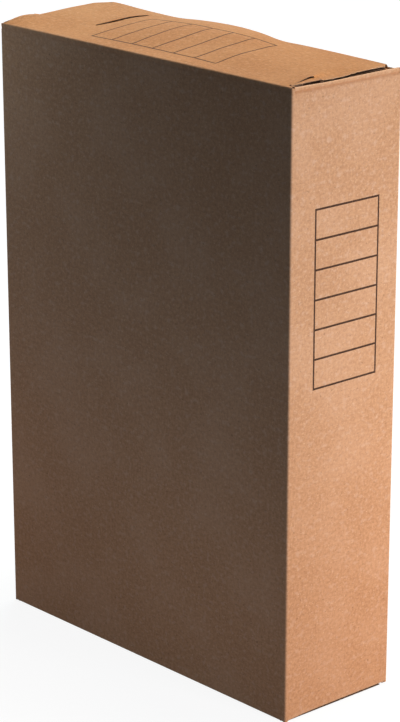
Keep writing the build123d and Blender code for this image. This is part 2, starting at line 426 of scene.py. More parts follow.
@dataclass(frozen=True)
class Board:
    """Thin single-flute board: liner, fluting and liner, in millimetres.

    Attributes:
        thickness: of the whole board.
        liner: thickness of a liner.
        flute_pitch: from one flute to the next.
        medium: thickness of the fluted paper.
        groove: depth of the open groove between the liners at a cut.
        recess: how far the fluting stays back from the cut.
        sunk: how far it goes on beyond the groove's floor.
        least_groove: depth that is left of the groove where an edge is joined.
        shortest_mitre: least square of the sum of two border sides, which keeps the groove short at sharp corners.
    """

    thickness: float = 1.6
    liner: float = 0.3
    flute_pitch: float = 3.2
    medium: float = 0.2
    groove: float = 2.2
    recess: float = 0.06
    sunk: float = 0.3
    least_groove: float = 0.02
    shortest_mitre: float = 1.2

    @staticmethod
    def corners(cells: np.ndarray) -> list[np.ndarray]:
        """Grid numbers of every cell's four corners, in turn, as four arrays in the shape of the cells."""
        index = np.arange((cells.shape[0] + 1) * (cells.shape[1] + 1)).reshape(cells.shape[0] + 1, -1)
        return [index[:-1, :-1], index[1:, :-1], index[1:, 1:], index[:-1, 1:]]

    def border(self, cells: np.ndarray) -> np.ndarray:
        """Directed edges round the board and round its slits, with the board on their left.

        A side of a cell is such an edge where the next cell over is missing.

        Args:
            cells: which cells are board.

        Returns:
            Rows of two grid numbers.
        """
        a, b, c, d = self.corners(cells)
        near = np.pad(cells, 1)
        sides = [(a, b, near[1:-1, :-2]), (b, c, near[2:, 1:-1]), (c, d, near[1:-1, 2:]), (d, a, near[:-2, 1:-1])]
        return np.concatenate([np.stack([start, end], -1)[cells & ~over] for start, end, over in sides])

    def outward(self, points: np.ndarray, normals: np.ndarray, edges: np.ndarray) -> np.ndarray:
        """Direction in the board's plane that leaves the board at each border point.

        It is the mitre of the two border edges: twice the sum of their outward sides over the square of that
        sum's length.

        Args:
            points: border points.
            normals: unit normals of the outer face there.
            edges: rows of two numbers of points.

        Returns:
            One vector for each point, about one long, longer at corners.
        """
        along = unit(points[edges[:, 1]] - points[edges[:, 0]])
        side = unit(np.cross(along, normals[edges[:, 0]]))
        total = np.zeros_like(points)
        np.add.at(total, edges[:, 0], side)
        np.add.at(total, edges[:, 1], side)
        return 2 * total / np.maximum((total**2).sum(-1, keepdims=True), self.shortest_mitre)

    def ribbon(
        self, middle: np.ndarray, normal: np.ndarray, away: np.ndarray, flat: np.ndarray, edges: np.ndarray
    ) -> tuple[list[np.ndarray], np.ndarray]:
        """Fluting between the liners, as a closed band along each cut that crosses the flutes.

        Its height above the board's middle is the amplitude times the sine of two pi times the place across
        the flutes over their pitch.

        Args:
            middle: border points in the middle of the board's thickness.
            normal: unit normals of the outer face there.
            away: directions that leave the board there.
            flat: places on the blank.
            edges: rows of two numbers of points, for the edges that are cut.

        Returns:
            The four corners of the band's section at each border point, and its quads.
        """
        amplitude = (self.thickness - 2 * self.liner - self.medium) / 2
        level = amplitude * np.sin(2 * math.pi * flat[:, :1] / self.flute_pitch)
        half = normal * self.medium / 2
        front = middle + normal * level - self.recess * away
        back = middle + normal * level - (self.groove + self.sunk) * away
        corners = [front + half, front - half, back - half, back + half]
        across, along = np.abs(flat[edges[:, 1]] - flat[edges[:, 0]]).T
        crossing = 0.7  # least run of a cut across the flutes for each millimetre along them
        a, b = edges[across > crossing * along].T
        n = len(middle)
        sides = [np.stack([a + k * n, a + (k + 1) % 4 * n, b + (k + 1) % 4 * n, b + k * n], -1) for k in range(4)]
        first, last = np.setdiff1d(a, b), np.setdiff1d(b, a)
        caps = [np.stack([first + k * n for k in (0, 3, 2, 1)], -1), np.stack([last + k * n for k in range(4)], -1)]
        return corners, np.concatenate([*sides, *caps])

    def solid(self, sheet: Sheet) -> Solid:
        """Closed mesh of a sheet, with its liners' edges, the groove between them and the fluting in it.

        The rim is carried round the border as a profile of six points: outer face, under the outer liner,
        groove floor twice, over the inner liner, inner face. The fluting shows as a ribbon along the cuts that
        cross the flutes.

        Args:
            sheet: the grid.

        Returns:
            The mesh, without points that no face uses.
        """
        outer, inward = sheet.outer.reshape(-1, 3), sheet.inward.reshape(-1, 3)
        flat, raw, fold = sheet.flat.reshape(-1, 2), sheet.raw.ravel(), sheet.fold.ravel()
        count = len(outer)
        quads = np.stack(self.corners(sheet.cells), -1)[sheet.cells]
        edges = self.border(sheet.cells)
        ends = raw[edges].min(1)
        is_cut = ends > Edge.CUT - 0.5
        border, local = np.unique(edges, return_inverse=True)
        local = local.reshape(edges.shape)
        normal = -unit(inward[border])
        away = self.outward(outer[border], normal, local)
        p, w = outer[border], inward[border]
        liner = -normal * self.liner
        depth = away * (self.groove * np.minimum(raw[border][:, None], 1.0) + self.least_groove)
        rings = [p + liner, p + liner - depth, p + w - liner - depth, p + w - liner]
        ribbon, flutes = self.ribbon(p + w / 2, normal, away, flat[border], local[is_cut])
        n = len(border)
        ring = [border] + [2 * count + k * n + np.arange(n) for k in range(len(rings))] + [border + count]
        a, b = local.T
        rim = [np.stack([upper[b], upper[a], lower[a], lower[b]], -1) for upper, lower in zip(ring, ring[1:])]
        faces = np.concatenate([quads, quads[:, ::-1] + count, *rim, flutes + 2 * count + len(rings) * n])
        # Painted shade: the groove's faces at cuts, and the liners' cut edges where raw marks them, take the dark
        # hollow finish.
        dark = [ends > Edge.PAINTED_SHADE_BOTH - 0.5, is_cut, is_cut, is_cut, ends > Edge.PAINTED_SHADE_INNER - 0.5]
        kinds = [np.where(shaded, Face.HOLLOW_PAINTED_SHADE, Face.CUT) for shaded in dark]
        faces_of = [np.full(len(quads), int(face)) for face in (Face.OUTER, Face.INNER)]
        used, compact = np.unique(faces, return_inverse=True)
        extra = len(rings) + len(ribbon)
        return Solid(
            points=np.concatenate([outer, outer + inward, *rings, *ribbon])[used],
            quads=compact.reshape(faces.shape),
            kinds=np.concatenate([*faces_of, *kinds, np.full(len(flutes), int(Face.CUT))]),
            flat=np.concatenate([flat, flat, *[flat[border]] * extra])[used],
            fold=np.concatenate([fold, fold, np.zeros(extra * n)])[used],
        )


def mesh_object(name: str, solid: Solid, finishes: list[bpy.types.Material]) -> bpy.types.Object:
    """Blender object of a solid, at the origin, with its place on the blank as a UV map in metres.

    Args:
        name: the piece's name.
        solid: its mesh.
        finishes: materials of the outer face, the inner face, the cut edges and the hollow between the liners, which
            is painted dark as shade.

    Returns:
        The object, linked to the scene.
    """
    mesh = bpy.data.meshes.new(name)
    mesh.from_pydata((solid.points * MM).tolist(), [], solid.quads.tolist())
    mesh.polygons.foreach_set("material_index", solid.kinds.astype(np.int32))
    layer = mesh.uv_layers.new(name="Blank")
    layer.uv.foreach_set("vector", (solid.flat[solid.quads.ravel()] * MM).astype(np.float32).ravel())
    fold = mesh.attributes.new("fold", "FLOAT", "POINT")
    fold.data.foreach_set("value", solid.fold.astype(np.float32))
    mesh.shade_smooth()
    mesh.set_sharp_from_angle(angle=math.radians(SHARP_ANGLE))
    for finish in finishes:
        mesh.materials.append(finish)
    mesh.update()
    piece = bpy.data.objects.new(name, mesh)
    bpy.context.scene.collection.objects.link(piece)
    return piece


# ---------------------------------------------------------------------------------------------------------------
# Finishes


@dataclass(frozen=True)
class PaperTone:
    """Colours of one face of kraft liner, as linear red, green and blue."""

    base: Triple
    shade: Triple
    fleck: Triple
    roughness: float = 0.82


OUTER_LINER = PaperTone(base=(0.62, 0.345, 0.195), shade=(0.45, 0.225, 0.12), fleck=(0.76, 0.51, 0.34))
INNER_LINER = PaperTone((0.55, 0.31, 0.17), shade=(0.45, 0.24, 0.125), fleck=(0.70, 0.46, 0.30), roughness=0.88)
CUT_EDGE = PaperTone((0.62, 0.38, 0.22), shade=(0.46, 0.26, 0.14), fleck=(0.80, 0.58, 0.40), roughness=0.92)
# Painted shade: the hollow between the liners is drawn near black-brown for the shade that falls in it, though its
# paper is kraft.
HOLLOW_PAINTED_SHADE = PaperTone((0.085, 0.045, 0.026), shade=(0.05, 0.026, 0.015), fleck=(0.13, 0.08, 0.05), roughness=0.95)
INK = (0.055, 0.024, 0.013)
# Painted shade of the pressed line under the top creases.
PAINTED_GROOVE_SHADE = (0.42, 0.17, 0.065)
PALE_BLUSH = (0.66, 0.42, 0.30)
PALE_PATCH = (0.68, 0.42, 0.29)
BARK = (0.17, 0.085, 0.04)
RUDDY_FOOT = (0.94, 0.83, 0.75)
GOLDEN_LID = (1.03, 0.875, 0.60)
WHITE = (1.0, 1.0, 1.0)


@dataclass(frozen=True)
class LabelGrid:
    """Printed label: a frame with equal cells, in millimetres on the blank.

    Attributes:
        corner: lowest corner on the blank.
        size: size across and up the blank.
        cells: number of cells.
        upright: True if the cells are stacked up the blank.
        line: width of a line.
        strength: how much ink a line has.
    """

    corner: Pair
    size: Pair
    cells: int = 6
    upright: bool = False
    line: float = 1.25
    strength: float = 1.0


class Graph:
    """Small helper that places and joins shader nodes in one tree."""

    def __init__(self, tree: bpy.types.NodeTree) -> None:
        """Keep the tree."""
        self.tree = tree

    def join(self, source: Socket | float | tuple[float, ...], target: Socket) -> None:
        """Link a socket to an input, or set the input's value.

        Args:
            source: a socket, a number, a vector, or a colour as red, green and blue.
            target: the input.
        """
        if isinstance(source, bpy.types.NodeSocket):
            self.tree.links.new(source, target)
        else:
            target.default_value = (*source, 1.0) if target.type == "RGBA" else source

    def node(self, kind: str, inputs: dict[str | int, object] | None = None, **settings: object) -> bpy.types.Node:
        """New node.

        Args:
            kind: its type.
            inputs: what is joined to its inputs, by their names or numbers.
            settings: its other settings, by name.

        Returns:
            The node.
        """
        made = self.tree.nodes.new(kind)
        for key, value in settings.items():
            setattr(made, key, value)
        for key, value in (inputs or {}).items():
            self.join(value, made.inputs[key])
        return made

    def math(self, operation: str, *values: object, clamp: bool = False) -> Socket:
        """Math node on up to three values."""
        return self.node("ShaderNodeMath", dict(enumerate(values)), operation=operation, use_clamp=clamp).outputs[0]

    def times(self, first: object, second: object) -> Socket:
        """Product of two values."""
        return self.math("MULTIPLY", first, second)

    def plus(self, first: object, second: object) -> Socket:
        """Sum of two values."""
        return self.math("ADD", first, second)

    def less(self, first: object, second: object) -> Socket:
        """First value less the second."""
        return self.math("SUBTRACT", first, second)

    def mix(self, factor: object, first: object, second: object) -> Socket:
        """Colour mix by a factor."""
        return self.node("ShaderNodeMix", {0: factor, 6: first, 7: second}, data_type="RGBA").outputs[2]

    def scaled(self, vector: object, scale: object) -> Socket:
        """Vector or colour with its three parts multiplied by those of another."""
        return self.node("ShaderNodeVectorMath", {0: vector, 1: scale}, operation="MULTIPLY").outputs["Vector"]

    def noise(self, vector: object, scale: float, detail: float = 2.0, rough: float = 0.5) -> Socket:
        """Noise from 0 to 1."""
        inputs = {"Vector": vector, "Scale": scale, "Detail": detail, "Roughness": rough}
        return self.node("ShaderNodeTexNoise", inputs).outputs["Fac"]

    def stretched(self, vector: object, scale: Triple, detail: float, rough: float = 0.5) -> Socket:
        """Noise from 0 to 1 with a scale of its own along each axis."""
        return self.noise(self.scaled(vector, scale), 1.0, detail, rough)

    def band(self, value: object, low: float, high: float) -> Socket:
        """0 below low, 1 above high, smooth between."""
        inputs = {"Value": value, "From Min": low, "From Max": high}
        return self.node("ShaderNodeMapRange", inputs, interpolation_type="SMOOTHSTEP").outputs["Result"]

    def parts(self, vector: object) -> bpy.types.bpy_prop_collection:
        """Sockets X, Y and Z of a vector."""
        return self.node("ShaderNodeSeparateXYZ", {0: vector}).outputs

    def group(self, tree: bpy.types.NodeTree, inputs: dict[str | int, object]) -> bpy.types.bpy_prop_collection:
        """Output sockets of a node group that is placed with its inputs joined."""
        return self.node("ShaderNodeGroup", inputs, node_tree=tree).outputs


class NodeKit:
    """Shared effects as node groups, each built once."""

    def __init__(self) -> None:
        """Build the groups."""
        self.paper = self._paper()
        self.flutes = self._flutes()
        self.label = self._label()
        self.tint = self._tint()

    @staticmethod
    def _group(
        name: str, inputs: dict[str, str], outputs: dict[str, str]
    ) -> tuple[Graph, bpy.types.bpy_prop_collection]:
        """Empty group with named sockets.

        Args:
            name: the group's name.
            inputs: kind of socket by name.
            outputs: kind of socket by name.

        Returns:
            A graph on the group, and the sockets that bring in its inputs.
        """
        tree = bpy.data.node_groups.new(name, "ShaderNodeTree")
        for in_out, sockets in (("INPUT", inputs), ("OUTPUT", outputs)):
            for label, kind in sockets.items():
                tree.interface.new_socket(label, in_out=in_out, socket_type=f"NodeSocket{kind}")
        g = Graph(tree)
        return g, g.node("NodeGroupInput").outputs

    def _paper(self) -> bpy.types.NodeTree:
        """Kraft paper: soft clouds, mottling of pulp, short fibres both ways, and small light and dark flecks.

        Returns:
            The group. Its Rough output is an offset, about zero.
        """
        inputs = {"Blank": "Vector", "Base": "Color", "Shade": "Color", "Fleck": "Color", "Mottle": "Float"}
        g, given = self._group("KraftPaper", inputs, {"Color": "Color", "Height": "Float", "Rough": "Float"})
        blank, mottle = given["Blank"], given["Mottle"]
        clouds = g.noise(blank, 22.0, 3.0)
        pulp = g.noise(blank, 560.0, 4.0, 0.62)
        along = g.stretched(blank, (900.0, 160.0, 1.0), 3.0, 0.6)
        cross = g.stretched(blank, (190.0, 1100.0, 1.0), 3.0, 0.6)
        fibres = g.times(g.plus(along, cross), 0.5)
        grain = g.plus(g.times(pulp, 0.6), g.times(fibres, 0.4))
        grain = g.plus(grain, g.times(g.less(clouds, 0.5), 0.14))
        blush = g.stretched(blank, (270.0, 310.0, 1.0), 2.0, 0.6)
        specks = g.stretched(blank, (820.0, 960.0, 1.0), 1.0, 0.4)
        bark = g.stretched(blank, (520.0, 640.0, 7.0), 1.0)
        layers = [
            (g.times(g.band(grain, 0.62, 0.37), mottle), given["Shade"]),
            (g.times(g.band(blush, 0.52, 0.70), g.times(mottle, 0.75)), PALE_BLUSH),
            (g.times(g.band(clouds, 0.44, 0.62), 0.16), PALE_PATCH),
            (g.times(g.band(specks, 0.62, 0.76), 0.6), given["Fleck"]),
            (g.times(g.band(bark, 0.64, 0.80), 0.42), BARK),
        ]
        colour = given["Base"]
        for share, tone in layers:
            colour = g.mix(share, colour, tone)
        rough = g.plus(g.times(grain, 0.14), -0.07)
        g.node("NodeGroupOutput", {"Color": colour, "Height": grain, "Rough": rough})
        return g.tree

    def _flutes(self) -> bpy.types.NodeTree:
        """Faint ridges of the fluting through the liner: a cosine across the flutes, uneven along them.

        Returns:
            The group, whose Height is from -1 to 1 and whose Shade is from 0 to 1, lowest in the valleys, where it
            gives painted shade.
        """
        outputs = {"Height": "Float", "Shade": "Float"}
        g, given = self._group("FluteRidges", {"Blank": "Vector", "Pitch": "Float"}, outputs)
        turns = g.math("DIVIDE", g.parts(given["Blank"])["X"], given["Pitch"])
        uneven = g.stretched(given["Blank"], (60.0, 14.0, 1.0), 2.0)
        wave = g.times(g.math("COSINE", g.times(turns, 2 * math.pi)), g.band(uneven, 0.25, 0.75))
        g.node("NodeGroupOutput", {"Height": wave, "Shade": g.plus(g.times(wave, 0.5), 0.5)})
        return g.tree

    def _tint(self) -> bpy.types.NodeTree:
        """Slow change of the sheet's tone up the blank: ruddy at the bottom, plain above, golden on the lid.

        Returns:
            The group.
        """
        g, given = self._group("BlankTint", {"Blank": "Vector"}, {"Tint": "Color"})
        up = g.parts(given["Blank"])["Y"]
        walls = g.mix(g.band(up, 0.0, 0.26), RUDDY_FOOT, WHITE)
        g.node("NodeGroupOutput", {"Tint": g.mix(g.band(up, 0.352, 0.357), walls, GOLDEN_LID)})
        return g.tree

    def _label(self) -> bpy.types.NodeTree:
        """Printed frame with equal cells.

        A line is where the distance to the nearest cell border, or to either long side, is under half the
        line's width, inside the frame.

        Returns:
            The group.
        """
        inputs = dict.fromkeys(("Along", "Across", "Length", "Width", "Cell", "Line"), "Float")
        g, given = self._group("LabelGrid", inputs, {"Mask": "Float"})
        along, across, width, cell = (given[name] for name in ("Along", "Across", "Width", "Cell"))
        half = g.times(given["Line"], 0.5)
        nearest = g.times(g.math("ROUND", g.math("DIVIDE", along, cell)), cell)
        to_cell = g.math("ABSOLUTE", g.less(along, nearest))
        to_long = g.math("MINIMUM", g.math("ABSOLUTE", across), g.math("ABSOLUTE", g.less(across, width)))
        drawn = self._under(g, g.math("MINIMUM", to_cell, to_long), half)
        framed = g.times(self._inside(g, along, given["Length"], half), self._inside(g, across, width, half))
        g.node("NodeGroupOutput", {"Mask": g.times(drawn, framed)})
        return g.tree

    @staticmethod
    def _under(g: Graph, value: object, limit: object) -> Socket:
        """1 where a value is below a limit, with a soft edge of a tenth of a millimetre."""
        return g.math("DIVIDE", g.less(limit, value), 0.1 * MM, clamp=True)

    @staticmethod
    def _inside(g: Graph, place: object, size: object, half: object) -> Socket:
        """1 where a place lies from 0 to size, grown by half a line."""
        middle = g.times(size, 0.5)
        return NodeKit._under(g, g.math("ABSOLUTE", g.less(place, middle)), g.plus(middle, half))


def bare_material(name: str) -> tuple[bpy.types.Material, Graph]:
    """New material without nodes, and a graph on it.

    Args:
        name: its name.

    Returns:
        The material and its graph.
    """
    material = bpy.data.materials.new(name)
    material.use_nodes = True
    material.node_tree.nodes.clear()
    return material, Graph(material.node_tree)


@dataclass
class BoardFinish:
    """Material of one side of the board.

    Attributes:
        name: the material's name.
        tone: paper colours.
        kit: shared node groups.
        labels: grids printed on this side.
        mottle: strength of the mottling.
        ridges: height of the flute ridges, in millimetres.
        tinted: True where the sheet's tone changes up the blank.
        relief: height of the paper's grain, in millimetres.
        flute_pitch: from one ridge to the next, in millimetres.
    """

    name: str
    tone: PaperTone
    kit: NodeKit
    labels: tuple[LabelGrid, ...] = ()
    mottle: float = 0.75
    ridges: float = 0.009
    tinted: bool = False
    relief: float = 0.016
    flute_pitch: float = Board.flute_pitch

    def build(self) -> bpy.types.Material:
        """Make the material.

        Returns:
            A node material that reads the UV map of the blank.
        """
        material, g = bare_material(self.name)
        blank = g.node("ShaderNodeUVMap", uv_map="Blank").outputs["UV"]
        tones = {"Base": self.tone.base, "Shade": self.tone.shade, "Fleck": self.tone.fleck}
        paper = g.group(self.kit.paper, {"Blank": blank, "Mottle": self.mottle, **tones})
        height = g.times(paper["Height"], self.relief * MM)
        colour, height = self._ridges(g, blank, paper["Color"], height)
        if self.tinted:
            colour = g.scaled(colour, g.group(self.kit.tint, {"Blank": blank})["Tint"])
        colour = self._fold(g, colour)
        for label in self.labels:
            colour = self._print(g, blank, colour, label)
        relief = g.node("ShaderNodeBump", {"Strength": 1.0, "Distance": 1.0, "Height": height})
        surface = {
            "Specular IOR Level": 0.22,
            "IOR": 1.45,
            "Base Color": colour,
            "Roughness": g.math("ADD", paper["Rough"], self.tone.roughness, clamp=True),
            "Normal": relief.outputs["Normal"],
        }
        shader = g.node("ShaderNodeBsdfPrincipled", surface)
        g.node("ShaderNodeOutputMaterial", {"Surface": shader.outputs["BSDF"]})
        return material

    def _ridges(self, g: Graph, blank: Socket, colour: Socket, height: Socket) -> tuple[Socket, Socket]:
        """Flute ridges added to height, and their painted shade, darker in the valleys, added to colour.

        Args:
            g: graph of the material.
            blank: place on the blank.
            colour: colour without them.
            height: height without them, in metres.

        Returns:
            Colour and height with them.
        """
        ridges = g.group(self.kit.flutes, {"Blank": blank, "Pitch": self.flute_pitch * MM})
        height = g.plus(height, g.times(ridges["Height"], self.ridges * MM))
        # Painted shade: slightly darker in the valleys between the flute ridges.
        shade = g.times(g.less(1.0, ridges["Shade"]), 0.04)
        return g.mix(shade, colour, self.tone.shade), height

    def _fold(self, g: Graph, colour: Socket) -> Socket:
        """Paler liner on creases, partly stretched liner and partly painted highlight, and painted shade in pressed
        lines, where the fold is below zero.

        Args:
            g: graph of the material.
            colour: colour of the flat board.

        Returns:
            The changed colour.
        """
        fold = g.node("ShaderNodeAttribute", attribute_name="fold").outputs["Fac"]
        # Painted highlight, with stretched-liner wear: the crest of each crease is drawn paler.
        pale = g.math("POWER", g.math("MAXIMUM", fold, 0.0), 3.0)
        colour = g.mix(g.times(pale, 0.5), colour, self.tone.fleck)
        # Painted shade: pressed lines are drawn darker.
        return g.mix(g.math("MAXIMUM", g.times(fold, -1.0), 0.0), colour, PAINTED_GROOVE_SHADE)

    def _print(self, g: Graph, blank: Socket, colour: Socket, label: LabelGrid) -> Socket:
        """Label printed over a colour.

        Args:
            g: graph of the material.
            blank: place on the blank.
            colour: colour of the board.
            label: the label.

        Returns:
            The colour with the label on it.
        """
        parts = g.parts(blank)
        across, up = (g.less(parts[axis], start * MM) for axis, start in zip("XY", label.corner))
        along, wide = (up, across) if label.upright else (across, up)
        length, width = reversed(label.size) if label.upright else label.size
        sizes = {"Length": length, "Width": width, "Cell": length / label.cells, "Line": label.line}
        inputs = {"Along": along, "Across": wide, **{name: size * MM for name, size in sizes.items()}}
        uneven = g.plus(0.8, g.times(g.noise(blank, 900.0, 2.0), 0.4))
        ink = g.times(g.group(self.kit.label, inputs)["Mask"], uneven)
        return g.mix(g.times(g.math("MINIMUM", ink, 1.0), label.strength), colour, INK)


@dataclass
class Palette:
    """All finishes of the box."""

    blank: Blank
    kit: NodeKit

    def __post_init__(self) -> None:
        """Build the materials."""
        lid_label = LabelGrid((-53.2, self.blank.top_v(9.9)), (102.0, 44.6), line=1.05, strength=0.95)
        spine_label = LabelGrid((self.blank.spine_u(-21.75), 190.0), (46.5, 98.25), upright=True)
        labels = (lid_label, spine_label)
        self.outer = BoardFinish("kraft_outer_liner", OUTER_LINER, self.kit, labels, tinted=True).build()
        self.inner = BoardFinish("kraft_inner_liner", INNER_LINER, self.kit, mottle=0.6, ridges=0.045).build()
        self.cut = BoardFinish("kraft_cut_edge", CUT_EDGE, self.kit, mottle=0.9, ridges=0.0).build()
        # The hollow between the liners takes this near black-brown finish as painted shade.
        self.hollow = BoardFinish("kraft_hollow_painted_shade", HOLLOW_PAINTED_SHADE, self.kit, mottle=0.5, ridges=0.0).build()
        self.glue = self._glue()

    @property
    def board(self) -> list[bpy.types.Material]:
        """Materials of the outer face, the inner face, the cut edges and the hollow between the liners, painted dark
        as shade.
        """
        return [self.outer, self.inner, self.cut, self.hollow]

    @staticmethod
    def _glue() -> bpy.types.Material:
        """Thin film of dried glue: milky amber with soft streaks.

        Returns:
            A node material that reads the place on the object.
        """
        material, g = bare_material("dried_glue")
        streaks = g.stretched(g.node("ShaderNodeTexCoord").outputs["Object"], (240.0, 240.0, 30.0), 3.0)
        surface = {
            "Base Color": g.mix(streaks, (0.50, 0.38, 0.22), (0.72, 0.62, 0.44)),
            "Roughness": g.plus(0.3, g.times(streaks, 0.25)),
        }
        shader = g.node("ShaderNodeBsdfPrincipled", surface)
        g.node("ShaderNodeOutputMaterial", {"Surface": shader.outputs["BSDF"]})
        return material


# ---------------------------------------------------------------------------------------------------------------
# Sub-assemblies


@dataclass
class Maker:
    """What every sub-assembly needs to make its pieces."""

    board: Board
    blank: Blank
    palette: Palette

    def piece(self, name: str, sheet: Sheet, *nodes: str) -> bpy.types.Object:
        """Object of a sheet that stands for CAD nodes, with the board's four materials.

        Args:
            name: the piece's name.
            sheet: its grid.
            nodes: CAD nodes that it replaces.

        Returns:
            The object, riding on nothing yet.
        """
        solid = self.board.solid(sheet)
        made = mesh_object(name, solid, self.palette.board)
        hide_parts(*nodes)
        log.info("%s: %d faces, stands for %s", name, len(solid.quads), ", ".join(nodes))
        return made

    def riding(self, name: str, sheet: Sheet, body: Body, *nodes: str) -> bpy.types.Object:
        """Piece that moves with one body."""
        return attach(self.piece(name, sheet, *nodes), body.value)

    def bending(
        self, name: str, sheet: Sheet, bodies: tuple[Body, Body], start: Triple, end: Triple, *nodes: str
    ) -> bpy.types.Object:
        """Piece of a crease between two bodies, baked in place; it follows neither body.

        Args:
            name: the piece's name.
            sheet: its grid.
            bodies: the body it would follow at its start, and the one at its end; not used.
            start: where it would stop following the first, in millimetres; not used.
            end: where it would follow the second; not used.
            nodes: CAD nodes that it replaces.

        Returns:
            The object.
        """
        made = self.piece(name, sheet, *nodes)
        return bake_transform(made)


@dataclass
class Walls:
    """The four upright walls, wrapped round as one sheet from the rear wall to the back wall.

    Attributes:
        side_bottom: where the two narrow walls end, above their bottom creases.
        front_bottom: where the front wall ends.
        top: where the front and narrow walls end, below their top creases.
        corner_top: where the upright creases end at the top.
        corner_bottom: where they end at the bottom, in turn from the rear.
        back_top: cut top edge of the back wall.
        rear_end: where the rear wall ends, at the glue flap's crease.
        rear_reach: how much farther it reaches above and below that crease.
        seam: heights between which that crease lies.
        bulge: how far the wide walls stand out in the middle.
        narrow_bulge: how far the narrow walls do.
        groove: depth of the pressed line under the top creases of the narrow walls.
        groove_place: how far it lies below the top, and half its width.
        groove_painted_shade: how dark the painted shade in it is, how far that shade lies below the top, and half the
            width of that.
        front_groove: depth of the same line on the front wall, as a share.
        crease_groove: its share on the upright creases.
        crease_wear_and_highlight: how pale the upright creases are, partly stretched liner and partly painted
            highlight.
        crease_raw: raw at their ends.
        squareness: power of the superellipse that the upright creases follow; 2 would be round.
        arc_steps: cells round a crease.
        rows: runs of rows up the walls, close at the foot, at the seam's ends and in the pressed line.
    """

    maker: Maker
    side_bottom: float = 3.8
    front_bottom: float = 2.0
    top: float = 353.0
    corner_top: float = 354.4
    corner_bottom: Triple = (0.25, 0.25, 1.3)
    back_top: float = 353.4
    rear_end: float = 36.2
    rear_reach: float = 2.05
    seam: Pair = (44.9, 310.2)
    bulge: float = 0.5
    narrow_bulge: float = 0.15
    groove: float = 0.4
    groove_place: Pair = (1.0, 0.75)
    groove_painted_shade: Triple = (0.5, 0.7, 0.9)
    front_groove: float = 0.3
    crease_groove: float = 0.5
    crease_wear_and_highlight: float = 0.5
    crease_raw: float = 0.4
    squareness: float = 4.0
    arc_steps: int = 16
    rows: tuple[Triple, ...] = (
        (0.0, 4.0, 0.5),
        (4.0, 41.2, 12.4),
        (41.2, 41.65, 0.45),
        (41.65, 309.55, 26.8),
        (309.55, 310.0, 0.45),
        (310.0, 349.0, 9.8),
        (349.0, 353.0, 0.25),
    )

    def _plan(self) -> dict[str, np.ndarray]:
        """Plan of the wrap: straight runs and quarter turns in order.

        Returns:
            What belongs to each point of the plan, by name.
        """
        blank = self.maker.blank
        hx, hy, r = blank.half_x, blank.half_y, blank.radius
        ix, iy = hx - r, hy - r
        narrow = {"bottom": self.side_bottom, "top": self.top, "groove": 1.0, "raw": 0.0}
        front = {"bottom": self.front_bottom, "top": self.top, "groove": self.front_groove, "raw": 0.0}
        back = {"bottom": 0.0, "top": self.back_top, "groove": 0.0, "raw": 1.0}
        runs = [
            self._straight((-hx, self.rear_end), (-hx, -iy), 3.0, self.narrow_bulge, narrow),
            self._turn((-ix, -iy), 180.0, self.corner_bottom[0]),
            self._straight((-ix, -hy), (ix, -hy), 3.0, self.bulge, front),
            self._turn((ix, -iy), 270.0, self.corner_bottom[1]),
            self._straight((hx, -iy), (hx, iy), 2.0, self.narrow_bulge, narrow),
            self._turn((ix, iy), 0.0, self.corner_bottom[2]),
            self._straight((ix, hy), (-hx, hy), FINE, self.bulge, back),
        ]
        return {key: np.concatenate([run[key] for run in runs]) for key in runs[0]}

    def _straight(
        self, start: Pair, end: Pair, step: float, bulge: float, plain: dict[str, float]
    ) -> dict[str, np.ndarray]:
        """Flat wall between two plan points, bulging as one minus the square of the place along it.

        Args:
            start: first plan point.
            end: last plan point.
            step: largest step between points.
            bulge: how far the middle stands out.
            plain: what is the same all along it.

        Returns:
            What belongs to each point, by name.
        """
        first, last = np.array(start), np.array(end)
        length = float(np.linalg.norm(last - first))
        run = between_creases(0.0, length, step) / length
        points = first + (last - first) * run[:, None]
        along = (last - first) / length
        normal = np.array([along[1], -along[0]])
        return {
            "plan": points,
            "inner": points - normal * self.maker.board.thickness,
            "normal": np.tile(normal, (len(run), 1)),
            "bulge": bulge * (1 - (2 * run - 1) ** 2),
            "fold": np.zeros(len(run)),
            **{key: np.full(len(run), value) for key, value in plain.items()},
        }

    def _turn(self, centre: Pair, start: float, bottom: float) -> dict[str, np.ndarray]:
        """Quarter turn of an upright crease, a superellipse outside and round inside, without its end points.

        Args:
            centre: its centre in the plan.
            start: angle of its first point, in degrees.
            bottom: where it ends above the floor.

        Returns:
            What belongs to each point, by name.
        """
        radius = self.maker.blank.radius
        inner, normal = arc(centre, radius - self.maker.board.thickness, start, start + 90.0, self.arc_steps)
        points, _ = arc(centre, radius, start, start + 90.0, self.arc_steps, self.squareness)
        share = np.linspace(0, 1, self.arc_steps + 1)
        plain = {
            "bottom": bottom,
            "top": self.corner_top,
            "bulge": 0.0,
            "groove": self.crease_groove,
            "raw": self.crease_raw,
        }
        values = {
            "plan": points,
            "inner": inner,
            "normal": normal,
            "fold": self.crease_wear_and_highlight * np.sin(share * math.pi) ** 0.5,
            **{key: np.full(len(points), value) for key, value in plain.items()},
        }
        return {key: value[1:-1] for key, value in values.items()}

